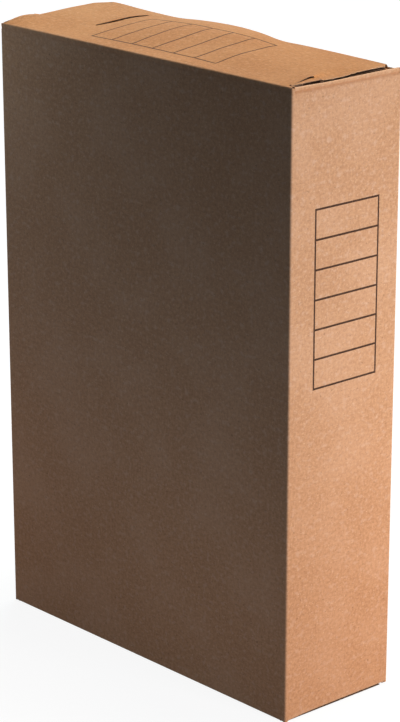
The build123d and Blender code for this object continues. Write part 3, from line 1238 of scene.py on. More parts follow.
    def _sheet(self) -> Sheet:
        """The wrap: plan carried up, plus its outward normal times bulge and pressed lines.

        Returns:
            The sheet.
        """
        plan = self._plan()
        rows = stations(*self.rows) / self.top
        z = plan["bottom"][:, None] + (plan["top"] - plan["bottom"])[:, None] * rows[None, :]
        height = (z - self.top / 2) / (self.top / 2)
        groove = plan["groove"][:, None]
        below, half = self.groove_place
        out = plan["bulge"][:, None] * (1 - np.clip(height, -1, 1) ** 2)
        out = out - self.groove * groove * bump(z, self.top - below, half)
        place = plan["plan"][:, None, :] + plan["normal"][:, None, :] * out[..., None]
        beyond = np.zeros_like(z)
        beyond[:2] = self.rear_reach * ((z[:2] < self.seam[0]) | (z[:2] > self.seam[1]))
        outer = stack(place[..., 0], place[..., 1] + beyond, z)
        depth = plan["inner"] - plan["plan"]
        blank = self.maker.blank
        front = np.argmin(np.abs(plan["plan"] - [-blank.front_edge, -blank.half_y]).sum(1))
        along = lengths(plan["plan"])
        u = along - along[front] - blank.front_edge
        raw = np.broadcast_to(plan["raw"][:, None], z.shape).copy()
        raw[0, :], raw[-1, :] = PINCHED, Edge.CUT
        # Painted shade in the pressed line: the fold value goes below zero there.
        strength, below, half = self.groove_painted_shade
        fold = plan["fold"][:, None] - strength * groove * bump(z, self.top - below, half)
        return Sheet(outer, stack(depth[:, :1], depth[:, 1:], 0.0), stack(u[:, None] - beyond, z), raw, fold)

    def build(self) -> None:
        """Make the wrap."""
        panels = ("front_panel", "back_panel", "spine_panel", "rear_panel")
        creases = ("front_spine_crease", "back_spine_crease", "front_rear_crease")
        self.maker.riding("wall_wrap", self._sheet(), Body.CASE, *panels, *creases)


@dataclass
class LidShape:
    """Heights of the lid's outer face, in millimetres.

    Heights at chosen places are joined by smooth curves, first along y and then along x, so the label's part of
    the lid bulges up and the rest stays low. A hump stands over the rear ear. The spine end lies low on its
    dust flap: there the height is a mix of the lid's and the end's own.

    Attributes:
        front_y: where the lid leaves its front crease.
        back_y: where its tuck crease begins.
        front_z: height of the front crease.
        top_limit: height that it stays under.
        lean: how far its back edge leans back, in degrees.
        rows: y of the chosen places.
        columns: x of the chosen places.
        rises: heights over the front crease at each column.
        end_rows: y of the chosen places of the low spine end.
        end_rises: its heights over the front crease there.
        hump: height of the hump.
        hump_y: where it starts and ends.
        hump_width: half its width along x.
    """

    front_y: float = -38.0
    back_y: float = 36.6
    front_z: float = 355.0
    top_limit: float = 361.25
    lean: float = 10.0
    rows: tuple[float, ...] = (-38, -28, -18, -8, 3, 14, 26, 36.6)
    columns: tuple[float, ...] = (-120, -105, -88, -69, -53.5, -35, -18, -1, 15, 31.5, 48.5, 70, 95, 112, 120)
    rises: tuple[tuple[float, ...], ...] = (
        (0.0, 0.8, 1.2, 1.55, 2.05, 2.65, 3.0, 3.5),
        (0.0, 0.6, 1.2, 1.8, 2.3, 2.9, 3.2, 3.6),
        (0.0, 0.4, 1.1, 1.8, 2.3, 2.8, 2.9, 2.9),
        (0.0, 0.3, 1.3, 2.0, 2.5, 3.0, 2.7, 2.4),
        (0.0, 0.3, 1.5, 2.6, 3.6, 4.1, 3.4, 2.3),
        (0.0, 0.6, 2.1, 3.2, 4.4, 5.2, 4.7, 3.5),
        (0.0, 0.8, 2.5, 4.0, 5.4, 6.0, 5.4, 4.2),
        (0.0, 0.8, 2.2, 3.6, 5.0, 6.0, 5.4, 4.25),
        (0.0, 0.7, 2.0, 3.3, 4.8, 6.0, 5.1, 3.3),
        (0.0, 0.7, 1.9, 3.3, 4.5, 5.4, 4.0, 1.45),
        (0.0, 0.3, 1.8, 3.0, 3.7, 4.0, 2.8, 1.4),
        (0.0, 0.4, 1.5, 2.3, 2.8, 2.9, 2.1, 1.25),
        (0.0, 0.6, 1.4, 1.9, 2.1, 2.2, 1.6, 0.85),
        (0.0, 1.1, 1.8, 1.8, 1.7, 1.9, 1.7, 0.5),
        (0.0, 1.3, 1.8, 1.6, 1.5, 1.8, 1.7, 0.3),
    )
    end_rows: tuple[float, ...] = (-38, -30, -20, -12, -5, 2, 9, 17, 28, 36.6)
    end_rises: tuple[float, ...] = (0.5, 0.68, 0.7, 0.75, 0.85, 1.05, 1.45, 1.75, 1.75, 0.4)
    hump: float = 1.8
    hump_y: Pair = (-38.5, -12.5)
    hump_width: float = 17.0

    def height(self, x: np.ndarray, y: np.ndarray) -> np.ndarray:
        """Height of the outer face, by the formula above, without the low spine end.

        Args:
            x: places along the lid.
            y: places across it.

        Returns:
            Heights.
        """
        x, y = np.broadcast_arrays(x, y)
        along_y = np.stack([through(y, self.rows, column) for column in self.rises])
        rise = through(x, self.columns, along_y)
        hump = self.hump * hill(y, *self.hump_y) ** 0.8 * bump(x, self.columns[0], self.hump_width)
        return np.minimum(self.front_z + rise + hump, self.top_limit)

    def end_height(self, y: np.ndarray) -> np.ndarray:
        """Height of the low spine end."""
        return self.front_z + through(y, self.end_rows, self.end_rises)

    def front_slope(self, x: np.ndarray) -> np.ndarray:
        """Angle at which the lid leaves the front crease, in degrees, from its rise over half a millimetre."""
        rise = self.height(x, np.full_like(x, self.front_y + 0.5)) - self.height(x, np.full_like(x, self.front_y))
        return np.degrees(np.arctan(rise / 0.5))


@dataclass
class Lid:
    """The crowned lid, its front crease, and its tuck flap with its crease.

    Attributes:
        half_length: half the lid's length.
        neck_half: the same beside the front crease.
        neck_end: y between which it widens from one to the other.
        corner: y where the back corners start to slant, and how steeply.
        corner_rounding: square of the small length that rounds that start.
        ear_start: where the ear slit starts, at the front.
        ear_end: where it ends.
        ear_gaps: its width at the rear end and at the spine end.
        hook: how far it hooks outwards at its end, the length before the end where it does, and the length after
            the end over which its line straightens again.
        rear_ear_front: y where the rear ear's slit opens.
        plain_half: half the length over which the grid's columns are straight.
        close: distance from the open slit within which they are close together.
        ear_steps: cells across an ear.
        ear_least: least width of an ear.
        slit_x: where the open slit lies.
        slit_y: where it starts and ends.
        slit_width: its width.
        slit_lift: how far its rear side stands up, its lip curls down and its other side sinks.
        slit_fade: over what distance the sides, and the lip, come back to the lid's height.
        end_mix: width over which the low spine end mixes with the lid past the ear slit, and how much that grows
            with each millimetre.
        nicks: height, y and half-width of each small nick in the spine edge.
        nick_reach: how far in they reach.
        wave: height of the unevenness of pressed board.
        tuck_slant: how far the tuck flap leans inwards, in degrees.
        tuck_depth: how far it reaches down.
        tuck_half: half its length.
        tuck_radius: radius of its corners.
        tuck_skin: thickness of each of the two skins of its crease.
        outer_turn: how far beyond the back edge, along y, the points lie that are given to bending for the outer
            skin.
        inner_turn: the same for the inner skin.
        steepest: steepest slope that the front crease turns to, in degrees.
        crease_wear_and_highlight: how pale the creases are, partly stretched liner and partly painted highlight.
        fold_half: half the front crease's length.
        squareness: power of the superellipse that the front crease follows.
        arc_steps: cells round a crease.
    """

    maker: Maker
    shape: LidShape
    half_length: float = 119.0
    neck_half: float = 117.2
    neck_end: Pair = (-17.8, -16.0)
    corner: Pair = (28.2, 0.95)
    corner_rounding: float = 0.5
    ear_start: Pair = (116.7, -38.0)
    ear_end: Pair = (111.0, -17.0)
    ear_gaps: Pair = (0.22, 0.5)
    hook: Triple = (0.9, 2.5, 12.0)
    rear_ear_front: float = -36.0
    plain_half: float = 96.0
    close: float = 3.0
    ear_steps: int = 13
    ear_least: float = 0.25
    slit_x: float = -69.0
    slit_y: Pair = (-12.0, 28.0)
    slit_width: float = 1.3
    slit_lift: Triple = (0.85, 0.3, 0.3)
    slit_fade: Pair = (9.0, 0.8)
    end_mix: Pair = (0.5, 0.75)
    nicks: tuple[Triple, ...] = ((0.35, 3.0, 0.9), (0.3, 7.4, 0.8))
    nick_reach: float = 2.5
    wave: float = 0.1
    tuck_slant: float = 17.0
    tuck_depth: float = 30.0
    tuck_half: float = 112.0
    tuck_radius: float = 18.0
    tuck_skin: float = 0.5
    outer_turn: Pair = (0.0, 1.1)
    inner_turn: Pair = (-0.25, -0.02)
    steepest: float = 40.0
    crease_wear_and_highlight: float = 0.7
    fold_half: float = 118.0
    squareness: float = 3.5
    arc_steps: int = 16

    def build(self) -> None:
        """Make the pieces of the lid."""
        self._front_fold()
        self._panel()
        radius, skin = self.maker.blank.radius, self.tuck_skin
        self._tuck_fold("lid_tuck_fold_outer", radius, self.outer_turn)
        self._tuck_fold("lid_tuck_fold_inner", radius - self.maker.board.thickness + skin, self.inner_turn)
        self._tuck_flap()

    @property
    def _share(self) -> np.ndarray:
        """Shares of the way round a crease."""
        return np.linspace(0, 1, self.arc_steps + 1)

    def _front_fold(self) -> None:
        """Crease over the front wall: a superellipse that turns from upright to the slope of the lid."""
        blank, board, share = self.maker.blank, self.maker.board.thickness, self._share
        x = stations((-self.fold_half, self.fold_half, 2.0))
        last = 90.0 + np.clip(self.shape.front_slope(x), 0.0, self.steepest)
        angle = np.radians(180.0 + (last[:, None] - 180.0) * share[None, :])
        normal = stack(0.0, np.cos(angle), np.sin(angle))
        centre = np.array([0.0, -blank.half_y + blank.radius, blank.height - blank.radius])
        outer = centre + reach(normal, blank.radius, self.squareness) * normal
        outer[..., 0] = x[:, None]
        flat = stack(x[:, None], blank.crease_v(share)[None, :])
        fold = self.crease_wear_and_highlight * np.sin(share * math.pi)[None, :] ** 0.7
        sheet = Sheet(outer, -board * normal, flat, pinched_ends(angle.shape), fold)
        start = (0.0, -blank.half_y + board, self.shape.front_z - blank.radius)
        end = (0.0, -blank.half_y + blank.radius, self.shape.front_z - board)
        self.maker.bending("lid_front_fold", sheet, (Body.CASE, Body.LID), start, end, "lid_crease")

    def _end_x(self, y: np.ndarray) -> np.ndarray:
        """Half-length of the lid at each y: the neck, the full length, then the slanting back corner.

        The corner takes off its slope times the distance beyond its start, rounded by the root of the square
        of that distance and a small length.

        Args:
            y: places across the lid.

        Returns:
            Half-lengths.
        """
        step = ease((y - self.neck_end[0]) / (self.neck_end[1] - self.neck_end[0]))
        full = self.neck_half + (self.half_length - self.neck_half) * step
        start, slope = self.corner
        into = y - start
        return full - slope * (into + np.sqrt(into**2 + self.corner_rounding)) / 2

    def _slit_track(self, y: np.ndarray) -> np.ndarray:
        """Where the ear slit's line lies at each y, hooking outwards at its end and straight on after it.

        Args:
            y: places across the lid.

        Returns:
            Its distances from the lid's middle.
        """
        (x0, y0), (x1, y1) = self.ear_start, self.ear_end
        share = np.clip((y - y0) / (y1 - y0), 0.0, 1.0)
        out, before, after = self.hook
        return x0 + (x1 - x0) * share + out * ease((y - y1 + before) / before) * (1 - ease((y - y1) / after))

    def _columns(self, y: np.ndarray) -> tuple[np.ndarray, dict[str, int]]:
        """x of each grid point, with columns that follow the slits and the ends.

        Args:
            y: the rows.

        Returns:
            Grid of x, and the column numbers at the slits.
        """
        inner, slit, half, close = self.plain_half, self.slit_x, self.slit_width / 2, self.close
        middle = stations(
            (-inner, slit - close, 2.0),
            (slit - close, slit - half, 0.5),
            (slit - half, slit + half, self.slit_width),
            (slit + half, slit + close, 0.5),
            (slit + close, inner, 2.0),
        )
        even = np.linspace(0, 1, 25)[1:-1]
        to_slit = 0.4 * ease(even) + 0.6 * even
        ear = np.linspace(0, 1, self.ear_steps + 1)
        track, end = self._slit_track(y), self._end_x(y)
        halves = []
        for gap in self.ear_gaps:
            near, far = track - gap / 2, track + gap / 2
            first = inner + (near - inner)[None, :] * to_slit[:, None]
            rest = far[None, :] + np.maximum(end - far, self.ear_least)[None, :] * ear[:, None]
            halves.append(np.concatenate([first, near[None, :], rest]))
        rear, spine = halves
        grid = np.concatenate([-rear[::-1], middle[:, None] * np.ones_like(y)[None, :], spine])
        marks = {
            "rear_ear": self.ear_steps,
            "spine_ear": len(grid) - self.ear_steps - 2,
            "slit": len(rear) + int(np.argmin(np.abs(middle - (slit - half)))),
        }
        return grid, marks

    def _rows(self) -> np.ndarray:
        """Rows of the lid from the front crease to the back edge, with one at each end of each slit.

        Returns:
            Their y.
        """
        places = (self.shape.front_y, -34.0, -22.0, self.ear_end[1], *self.slit_y, self.shape.back_y)
        steps = (0.5, 1.0, 0.5, 0.5, 1.0, 0.45)
        return stations(*zip(places, places[1:], steps))

    def _panel(self) -> None:
        """Crowned lid with its slits, the spine ear lying lower and the slit's far side raised."""
        y = self._rows()
        x, marks = self._columns(y)
        rear_ear, spine_ear, slit = marks["rear_ear"], marks["spine_ear"], marks["slit"]
        yy = np.broadcast_to(y[None, :], x.shape)
        columns = np.arange(len(x))[:, None]
        z = self._low_end(x, yy, self.shape.height(x, yy), columns > spine_ear)
        z = z + self._slit_lift(x, yy, columns <= slit) + self._edge_wave(x, yy)
        outer = stack(x, yy, z)
        front = np.radians(self.shape.front_slope(x[:, 0]))
        blank = self.maker.blank
        outer[:, 0, 1] = self.shape.front_y - blank.radius * np.sin(front)
        outer[:, 0, 2] = blank.height - blank.radius * (1 - np.cos(front))
        in_slit = (y >= self.slit_y[0]) & (y <= self.slit_y[1])
        in_ear = y <= self.ear_end[1]
        normal = self._normals(outer, {rear_ear: in_ear, slit: in_slit, spine_ear: in_ear})
        normal[:, 0] = stack(0.0, -np.sin(front), np.cos(front))
        lean = math.radians(self.shape.lean)
        normal[:, -1] = (0.0, math.sin(lean), math.cos(lean))
        raw = cut_round(x.shape)
        raw[(np.abs(x[:, -1]) < self.tuck_half - 1.0), -1] = Edge.JOINED
        # The spine end's inner liner edge is painted dark as shade under the lid's edge.
        raw[-1, 1:] = Edge.PAINTED_SHADE_INNER
        cells = np.ones((x.shape[0] - 1, x.shape[1] - 1), bool)
        rows = (y[:-1] + y[1:]) / 2
        cells[rear_ear, (rows > self.rear_ear_front) & (rows < self.ear_end[1])] = False
        cells[spine_ear, rows < self.ear_end[1]] = False
        cells[slit, (rows > self.slit_y[0]) & (rows < self.slit_y[1])] = False
        flat = stack(x, blank.top_v(yy - self.shape.front_y))
        sheet = Sheet(outer, -self.maker.board.thickness * normal, flat, raw, np.zeros(x.shape), cells)
        self.maker.riding("lid_panel_sheet", sheet, Body.LID, "lid_panel")

    @staticmethod
    def _normals(outer: np.ndarray, slits: dict[int, np.ndarray]) -> np.ndarray:
        """Unit normals of a grid: the cross product of its differences along u and along v.

        Args:
            outer: grid of points.
            slits: for the last column before each slit, which rows the slit runs through.

        Returns:
            Grid of normals, with the differences along u taken on one side only beside a slit.
        """
        along_u, along_v = np.gradient(outer, axis=0), np.gradient(outer, axis=1)
        for column, rows in slits.items():
            along_u[column, rows] = outer[column, rows] - outer[column - 1, rows]
            along_u[column + 1, rows] = outer[column + 2, rows] - outer[column + 1, rows]
        return unit(np.cross(along_u, along_v))

    def _low_end(self, x: np.ndarray, y: np.ndarray, z: np.ndarray, beyond: np.ndarray) -> np.ndarray:
        """Mix of the lid's height and the spine end's own, with the nicks in its edge.

        Beside the ear slit the share of the end is 1 beyond the slit and 0 before it. Past the slit it goes
        smoothly from 0 to 1 over a width that grows with the distance from the slit's end.

        Args:
            x: grid of places along the lid.
            y: grid of places across it.
            z: heights without the low end.
            beyond: which columns lie beyond the ear slit.

        Returns:
            Heights.
        """
        width = self.end_mix[0] + self.end_mix[1] * np.maximum(y - self.ear_end[1], 0.0)
        smooth = ease((x - self._slit_track(y)) / width + 0.5)
        share = np.where(y <= self.ear_end[1], beyond.astype(float), smooth)
        nicks = sum(height * bump(y, place, half) for height, place, half in self.nicks)
        at_edge = ease((x - self.half_length + self.nick_reach) / self.nick_reach)
        return z + (self.shape.end_height(y) - z) * share + nicks * at_edge

    def _slit_lift(self, x: np.ndarray, y: np.ndarray, is_rear: np.ndarray) -> np.ndarray:
        """Rear side of the lid's slit stands up, its cut lip curls down, and its other side sinks.

        Args:
            x: grid of places along the lid.
            y: grid of places across it.
            is_rear: which columns lie on the rear side.

        Returns:
            What is added to the heights: each part is e to minus the distance from the slit over its own length.
        """
        up, curl, down = self.slit_lift
        wide, narrow = self.slit_fade
        off = np.abs(x - self.slit_x) - self.slit_width / 2
        rear = up * np.exp(-off / wide) - curl * np.exp(-off / narrow)
        return hill(y, *self.slit_y) ** 0.35 * np.where(is_rear, rear, -down * np.exp(-off / wide))

    def _edge_wave(self, x: np.ndarray, y: np.ndarray) -> np.ndarray:
        """Slight unevenness: sines of about 76 mm along x and 33 mm along y, gone at the front and back edges."""
        fade = self.wave * hill(y, self.shape.front_y, self.shape.back_y)
        return fade * np.sin(x * 0.083 + 1.3) * np.sin(y * 0.19 + x * 0.021)

    def _tuck_centre(self, x: np.ndarray) -> np.ndarray:
        """Centre of the tuck crease along the back edge.

        Args:
            x: places along the lid.

        Returns:
            (y, z) for each of them.
        """
        lean = math.radians(self.shape.lean)
        back = self.shape.height(x, np.full_like(x, self.shape.back_y))
        radius = self.maker.blank.radius
        return stack(self.shape.back_y - radius * math.sin(lean), back - radius * math.cos(lean))

    def _tuck_fold(self, name: str, radius: float, turn: Pair) -> None:
        """One skin of the tuck crease, bending between the lid and its flap.

        Args:
            name: the piece's name.
            radius: its outer radius.
            turn: how far beyond the back edge the two points lie that are given to bending.
        """
        half, skin, share = self.tuck_half - 1.0, self.tuck_skin, self._share[None, :]
        x = stations((-half, half, 1.5))
        centre = self._tuck_centre(x)
        lean = self.shape.lean
        angle = np.radians(90.0 - lean + (lean - 90.0 - self.tuck_slant) * share)
        y = centre[:, None, 0] + radius * np.cos(angle)
        z = centre[:, None, 1] + radius * np.sin(angle)
        normal = stack(0.0, np.cos(angle), np.sin(angle))
        run = self.shape.back_y - self.shape.front_y + self.maker.blank.bend * share
        flat = stack(x[:, None], self.maker.blank.top_v(run))
        fold = self.crease_wear_and_highlight * np.sin(share * math.pi)
        sheet = Sheet(stack(x[:, None], y, z), -skin * normal, flat, np.zeros(y.shape), fold)
        start, end = ((0, self.shape.back_y + place, self.shape.front_z) for place in turn)
        thin = replace(self.maker, board=Board(thickness=skin, liner=skin / 4, medium=skin / 10, groove=0.0))
        thin.bending(name, sheet, (Body.LID, Body.TUCK), start, end, "lid_tuck_crease")

    def _tuck_flap(self) -> None:
        """Flap from the tuck crease down, leaning inwards, with rounded corners."""
        run = clustered(self.tuck_depth, self.tuck_radius, 2.0)
        half = rounded_half_width(run, self.tuck_half, self.tuck_depth, self.tuck_radius)
        x = fine(2 * self.tuck_half, -1, 1)[:, None] * half[None, :]
        centre = self._tuck_centre(x)
        slant = math.radians(self.tuck_slant)
        blank = self.maker.blank
        y = centre[..., 0] + blank.radius * math.cos(slant) - run * math.sin(slant)
        z = centre[..., 1] - blank.radius * math.sin(slant) - run * math.cos(slant)
        normal = np.array([0.0, math.cos(slant), -math.sin(slant)])
        length = self.shape.back_y - self.shape.front_y + blank.bend
        flat = stack(x, blank.top_v(length + run[None, :]))
        inward = -self.maker.board.thickness * normal
        sheet = Sheet(stack(x, y, z), inward, flat, cut_round(x.shape), np.zeros(x.shape))
        self.maker.riding("lid_tuck_flap_sheet", sheet, Body.TUCK, "lid_tuck_flap")


@dataclass
class DustFlap:
    """Flap under one end of the lid, with its crease over the wall's top.

    Attributes:
        side: which end it is at.
        body: the body that it moves with.
        name: start of its pieces' names.
        length: how far it reaches in from the wall's outer face.
        front: y of its front edge at its crease and at its tip.
        back: y of its back edge.
        corner: radius of its corners.
        fold_half: half its crease's length.
        press: how far the lid's end presses it down.
        press_rows: y of the places where that is given.
        press_shares: its share there.
        press_fade: over what distance inwards it fades.
        ridge: height of the ridge that is left on a pressed crease.
        sag: how far the flap sinks towards its tip.
        sag_run: over what distance it does.
        crease_wear_and_highlight: how pale its crease is, partly stretched liner and partly painted highlight.
        squareness: power of the superellipse that its crease follows.
        arc_steps: cells round its crease.
    """

    maker: Maker
    side: Side
    body: Body
    name: str
    length: float = 72.0
    front: Pair = (-21.0, -10.0)
    back: float = 33.0
    corner: float = 6.0
    fold_half: float = 38.0
    press: float = 0.0
    press_rows: tuple[float, ...] = (-38, -27, -20, -12, -5, 2, 9, 17, 33)
    press_shares: tuple[float, ...] = (0.9, 1.05, 1.3, 1.4, 1.35, 1.15, 1.0, 0.8, 0.7)
    press_fade: float = 40.0
    ridge: float = 0.55
    sag: float = 1.3
    sag_run: float = 14.0
    crease_wear_and_highlight: float = 1.1
    squareness: float = 3.5
    arc_steps: int = 16

    def build(self) -> None:
        """Make the crease and the flap."""
        self._fold()
        self._flap()

    def _pressed(self, y: np.ndarray, run: np.ndarray) -> np.ndarray:
        """How far the board lies under its crease's height: pressed by the lid's end, sagging towards its tip."""
        pressed = self.press * through(y, self.press_rows, self.press_shares) * np.exp(-run / self.press_fade)
        return pressed + self.sag * (1 - np.exp(-run / self.sag_run))

    def _fold(self) -> None:
        """Tight turn over the wall's top edge.

        Outside it is a superellipse, as the upright creases, with a low ridge on it; the height of its inner
        end follows the pressed flap.
        """
        blank, board = self.maker.blank, self.maker.board.thickness
        centre = (blank.half_x - blank.radius, blank.height - blank.radius)
        points, normals = arc(centre, blank.radius, 0.0, 90.0, self.arc_steps, self.squareness)
        share = np.linspace(0, 1, self.arc_steps + 1)[None, :]
        ridge = self.ridge * self.press * np.sin(share * math.pi) ** 2
        along = stations((-self.fold_half, self.fold_half, 1.5))
        y = self.side * along[:, None] * np.ones_like(share)
        z = points[None, :, 1] + ridge - self._pressed(y, np.zeros_like(y)) * share
        outer = stack(self.side * points[None, :, 0], y, z)
        normal = stack(self.side * normals[None, :, 0], 0.0, normals[None, :, 1])
        flat = stack(blank.end_u(self.side, y), blank.crease_v(share))
        raw = pinched_ends(y.shape)
        raw[(y[:, -1] < self.front[0] - 0.5) | (y[:, -1] > self.back + 0.5), -1] = PINCHED
        sheet = Sheet(outer, -board * normal, flat, raw, self.crease_wear_and_highlight * np.sin(share * math.pi) ** 2)
        start = (self.side * (blank.half_x - board), 0.0, blank.height - blank.radius)
        end = (self.side * (blank.half_x - blank.radius), 0.0, blank.height - board)
        bodies = (Body.CASE, self.body)
        self.maker.bending(f"{self.name}_fold", sheet, bodies, start, end, f"{self.name}_crease")

    def _flap(self) -> None:
        """Flap from the crease inwards; its front edge runs back towards the tip, and its two corners are round."""
        blank = self.maker.blank
        depth = self.length - blank.radius
        run = clustered(depth, self.corner, 3.0)
        inset = self.corner - rounded_half_width(run, self.corner, depth, self.corner)
        low = self.front[0] + (self.front[1] - self.front[0]) * run / depth + inset
        high = self.back - inset
        ends = (0, 1) if self.side > 0 else (1, 0)
        y = low[None, :] + (high - low)[None, :] * fine(self.back - self.front[0], *ends)[:, None]
        x = self.side * (blank.half_x - blank.radius - run)[None, :]
        z = blank.height - self._pressed(y, run[None, :])
        flat = stack(blank.end_u(self.side, y), blank.top_v(run[None, :]))
        inward = np.array([0.0, 0.0, -self.maker.board.thickness])
        sheet = Sheet(stack(x, y, z), inward, flat, cut_round(y.shape), np.zeros(y.shape))
        self.maker.riding(f"{self.name}_flap_sheet", sheet, self.body, f"{self.name}_flap")


@dataclass
class Bottom:
    """Closed bottom: the panel with its tuck flap as one sheet, and a short flap on it at each end.

    Attributes:
        panel_half: half the panel's length.
        crease_half: half the length of its front crease.
        tuck_half: half the length of its tuck flap.
        tuck_face: y of the tuck flap's outer face.
        tuck_height: how far the tuck flap reaches up.
        tuck_radius: radius of its corners.
        flap_length: how far each end flap reaches in from its crease.
        flap_y: y of the end flaps' front and back edges.
        flap_level: height of their lower face.
        corner: radius of their corners.
        sink: how far their creases sink below a square turn, and how much more they do at the front.
        sink_fade: over what distance from the front that fades.
        crease_wear_and_highlight: how pale the creases are, partly stretched liner and partly painted highlight.
        squareness: power of the superellipse that the outer creases follow.
        arc_steps: cells round a crease.
    """

    maker: Maker
    panel_half: float = 118.5
    crease_half: float = 118.0
    tuck_half: float = 112.0
    tuck_face: float = 37.8
    tuck_height: float = 30.0
    tuck_radius: float = 18.0
    flap_length: float = 70.0
    flap_y: Pair = (-36.0, 34.0)
    flap_level: float = 1.8
    corner: float = 6.0
    sink: Pair = (0.35, 1.2)
    sink_fade: float = 10.0
    crease_wear_and_highlight: float = 0.7
    squareness: float = 4.0
    arc_steps: int = 12

    def build(self) -> None:
        """Make the panel and both end flaps."""
        self._panel()
        for side, name in ((Side.SPINE, "bottom_spine"), (Side.REAR, "bottom_rear")):
            self._end_flap(side, name)

    def _panel(self) -> None:
        """Section from the front wall, round the front crease, along the floor, round the tuck crease and up."""
        blank, r = self.maker.blank, self.maker.blank.radius
        front_y, back_y = r - blank.half_y, self.tuck_face - r
        front, front_normal = arc((front_y, r), r, 180.0, 270.0, self.arc_steps, self.squareness)
        floor = between_creases(front_y, back_y, 6.0)[1:-1]
        tuck, tuck_normal = arc((back_y, r), r, 270.0, 360.0, self.arc_steps)
        rise = clustered(self.tuck_height - r, self.tuck_radius, 3.0)[1:]
        rounded = rounded_half_width(rise, self.tuck_half, self.tuck_height - r, self.tuck_radius)
        section, normal, half, fold = joined(
            (front, front_normal, self.crease_half, bent(len(front))),
            (stack(floor, 0.0), (0.0, -1.0), self.panel_half, 0.0),
            (tuck, tuck_normal, self.tuck_half, bent(len(tuck))),
            (stack(self.tuck_face, r + rise), (1.0, 0.0), rounded, 0.0),
        )
        rows = stack(0.0, section[:, 0], section[:, 1])
        row_normals = stack(0.0, normal[:, 0], normal[:, 1])
        share = fine(2 * self.panel_half, 0, 1)
        points, normals, place = strip(share, -half, half, rows, row_normals, (-1.0, 0.0, 0.0))
        flat = stack(-place, blank.bottom_v(lengths(section) - blank.bend)[None, :])
        raw = cut_round(place.shape)
        # Both ends' liner edges are painted dark as shade.
        raw[[0, -1], :] = Edge.PAINTED_SHADE_BOTH
        sheet = Sheet(points, -self.maker.board.thickness * normals, flat, raw, self.crease_wear_and_highlight * fold[None, :])
        nodes = ("bottom_crease", "bottom_panel", "bottom_tuck_crease", "bottom_tuck_flap")
        self.maker.riding("bottom_sheet", sheet, Body.CASE, *nodes)

    def _end_flap(self, side: Side, name: str) -> None:
        """Crease under a narrow wall and the short flap that lies on the bottom panel.

        Args:
            side: which end it is at.
            name: start of its names.
        """
        blank, r = self.maker.blank, self.maker.blank.radius
        turn = (blank.half_x - r, self.flap_level + r)
        bend, bend_normal = arc(turn, r, 0.0, -90.0, self.arc_steps, self.squareness)
        run = clustered(self.flap_length, self.corner, 4.0)[1:]
        inset = self.corner - rounded_half_width(run, self.corner, self.flap_length, self.corner)
        crease, (front, back) = blank.half_y - r, self.flap_y
        section, normal, low, high, fold = joined(
            (bend, bend_normal, -crease, crease, bent(len(bend))),
            (stack(blank.half_x - r - run, self.flap_level), (0.0, -1.0), front + inset, back - inset, 0.0),
        )
        rows = stack(side * section[:, 0], 0.0, section[:, 1])
        row_normals = stack(side * normal[:, 0], 0.0, normal[:, 1])
        part = fine(2 * crease, *((1, 0) if side > 0 else (0, 1)))
        points, normals, place = strip(part, low, high, rows, row_normals, (0.0, 1.0, 0.0))
        even, more = self.sink
        points[..., 2] -= fold[None, :] * (even + more * np.exp(-(place + crease) / self.sink_fade))
        flat = stack(blank.end_u(side, place), blank.bottom_v(lengths(section) - blank.bend)[None, :])
        inward = -self.maker.board.thickness * normals
        sheet = Sheet(points, inward, flat, cut_round(place.shape), self.crease_wear_and_highlight * fold[None, :])
        self.maker.riding(f"{name}_sheet", sheet, Body.CASE, f"{name}_crease", f"{name}_flap")


@dataclass
class MakerJoint:
    """CAD nodes that keep their own shape and only get a finish: the glue flap and the films of glue."""

    palette: Palette
    board_nodes: tuple[str, ...] = ("glue_flap", "glue_flap_crease")
    glue_nodes: tuple[str, ...] = ("seam_glue", "bottom_spine_glue", "bottom_rear_glue")

    def build(self) -> None:
        """Dress the nodes."""
        for names, finish in ((self.board_nodes, self._plain_board()), (self.glue_nodes, self.palette.glue)):
            for name in names:
                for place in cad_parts[name].material_slots:
                    place.link = "OBJECT"
                    place.material = finish
                log.info("%s: finished as %s", name, finish.name)

    def _plain_board(self) -> bpy.types.Material:
        """Inner liner that reads the place on the object, because a CAD node has no map of the blank.

        Returns:
            The material.
        """
        made = self.palette.inner.copy()
        made.name = "kraft_glue_flap"
        tree = made.node_tree
        source = next(n for n in tree.nodes if n.type == "UVMAP")
        graph = Graph(tree)
        parts = graph.parts(graph.node("ShaderNodeTexCoord").outputs["Object"])
        upright = graph.node("ShaderNodeCombineXYZ", {"X": parts["X"], "Y": parts["Z"]})
        for link in list(source.outputs["UV"].links):
            tree.links.new(upright.outputs["Vector"], link.to_socket)
        tree.nodes.remove(source)
        return made


# ---------------------------------------------------------------------------------------------------------------
# Studio


@dataclass(frozen=True)
class Lamp:
    """Square area lamp, in metres and watts.

    Attributes:
        name: its name.
        place: where it stands.
        target: what it is aimed at.
        size: its width.
        power: its strength.
        colour: its colour.
    """

    name: str
    place: Triple
    target: Triple
    size: float
    power: float
    colour: Triple

    def light(self) -> None:
        """Put it into the scene."""
        data = bpy.data.lights.new(self.name, "AREA")
        data.shape = "SQUARE"
        data.size = self.size
        data.energy = self.power
        data.color = self.colour
        lamp = bpy.data.objects.new(self.name, data)
        lamp.location = self.place
        lamp.visible_camera = False
        lamp.rotation_euler = (Vector(self.target) - Vector(self.place)).to_track_quat("-Z", "Y").to_euler()
        bpy.context.scene.collection.objects.link(lamp)


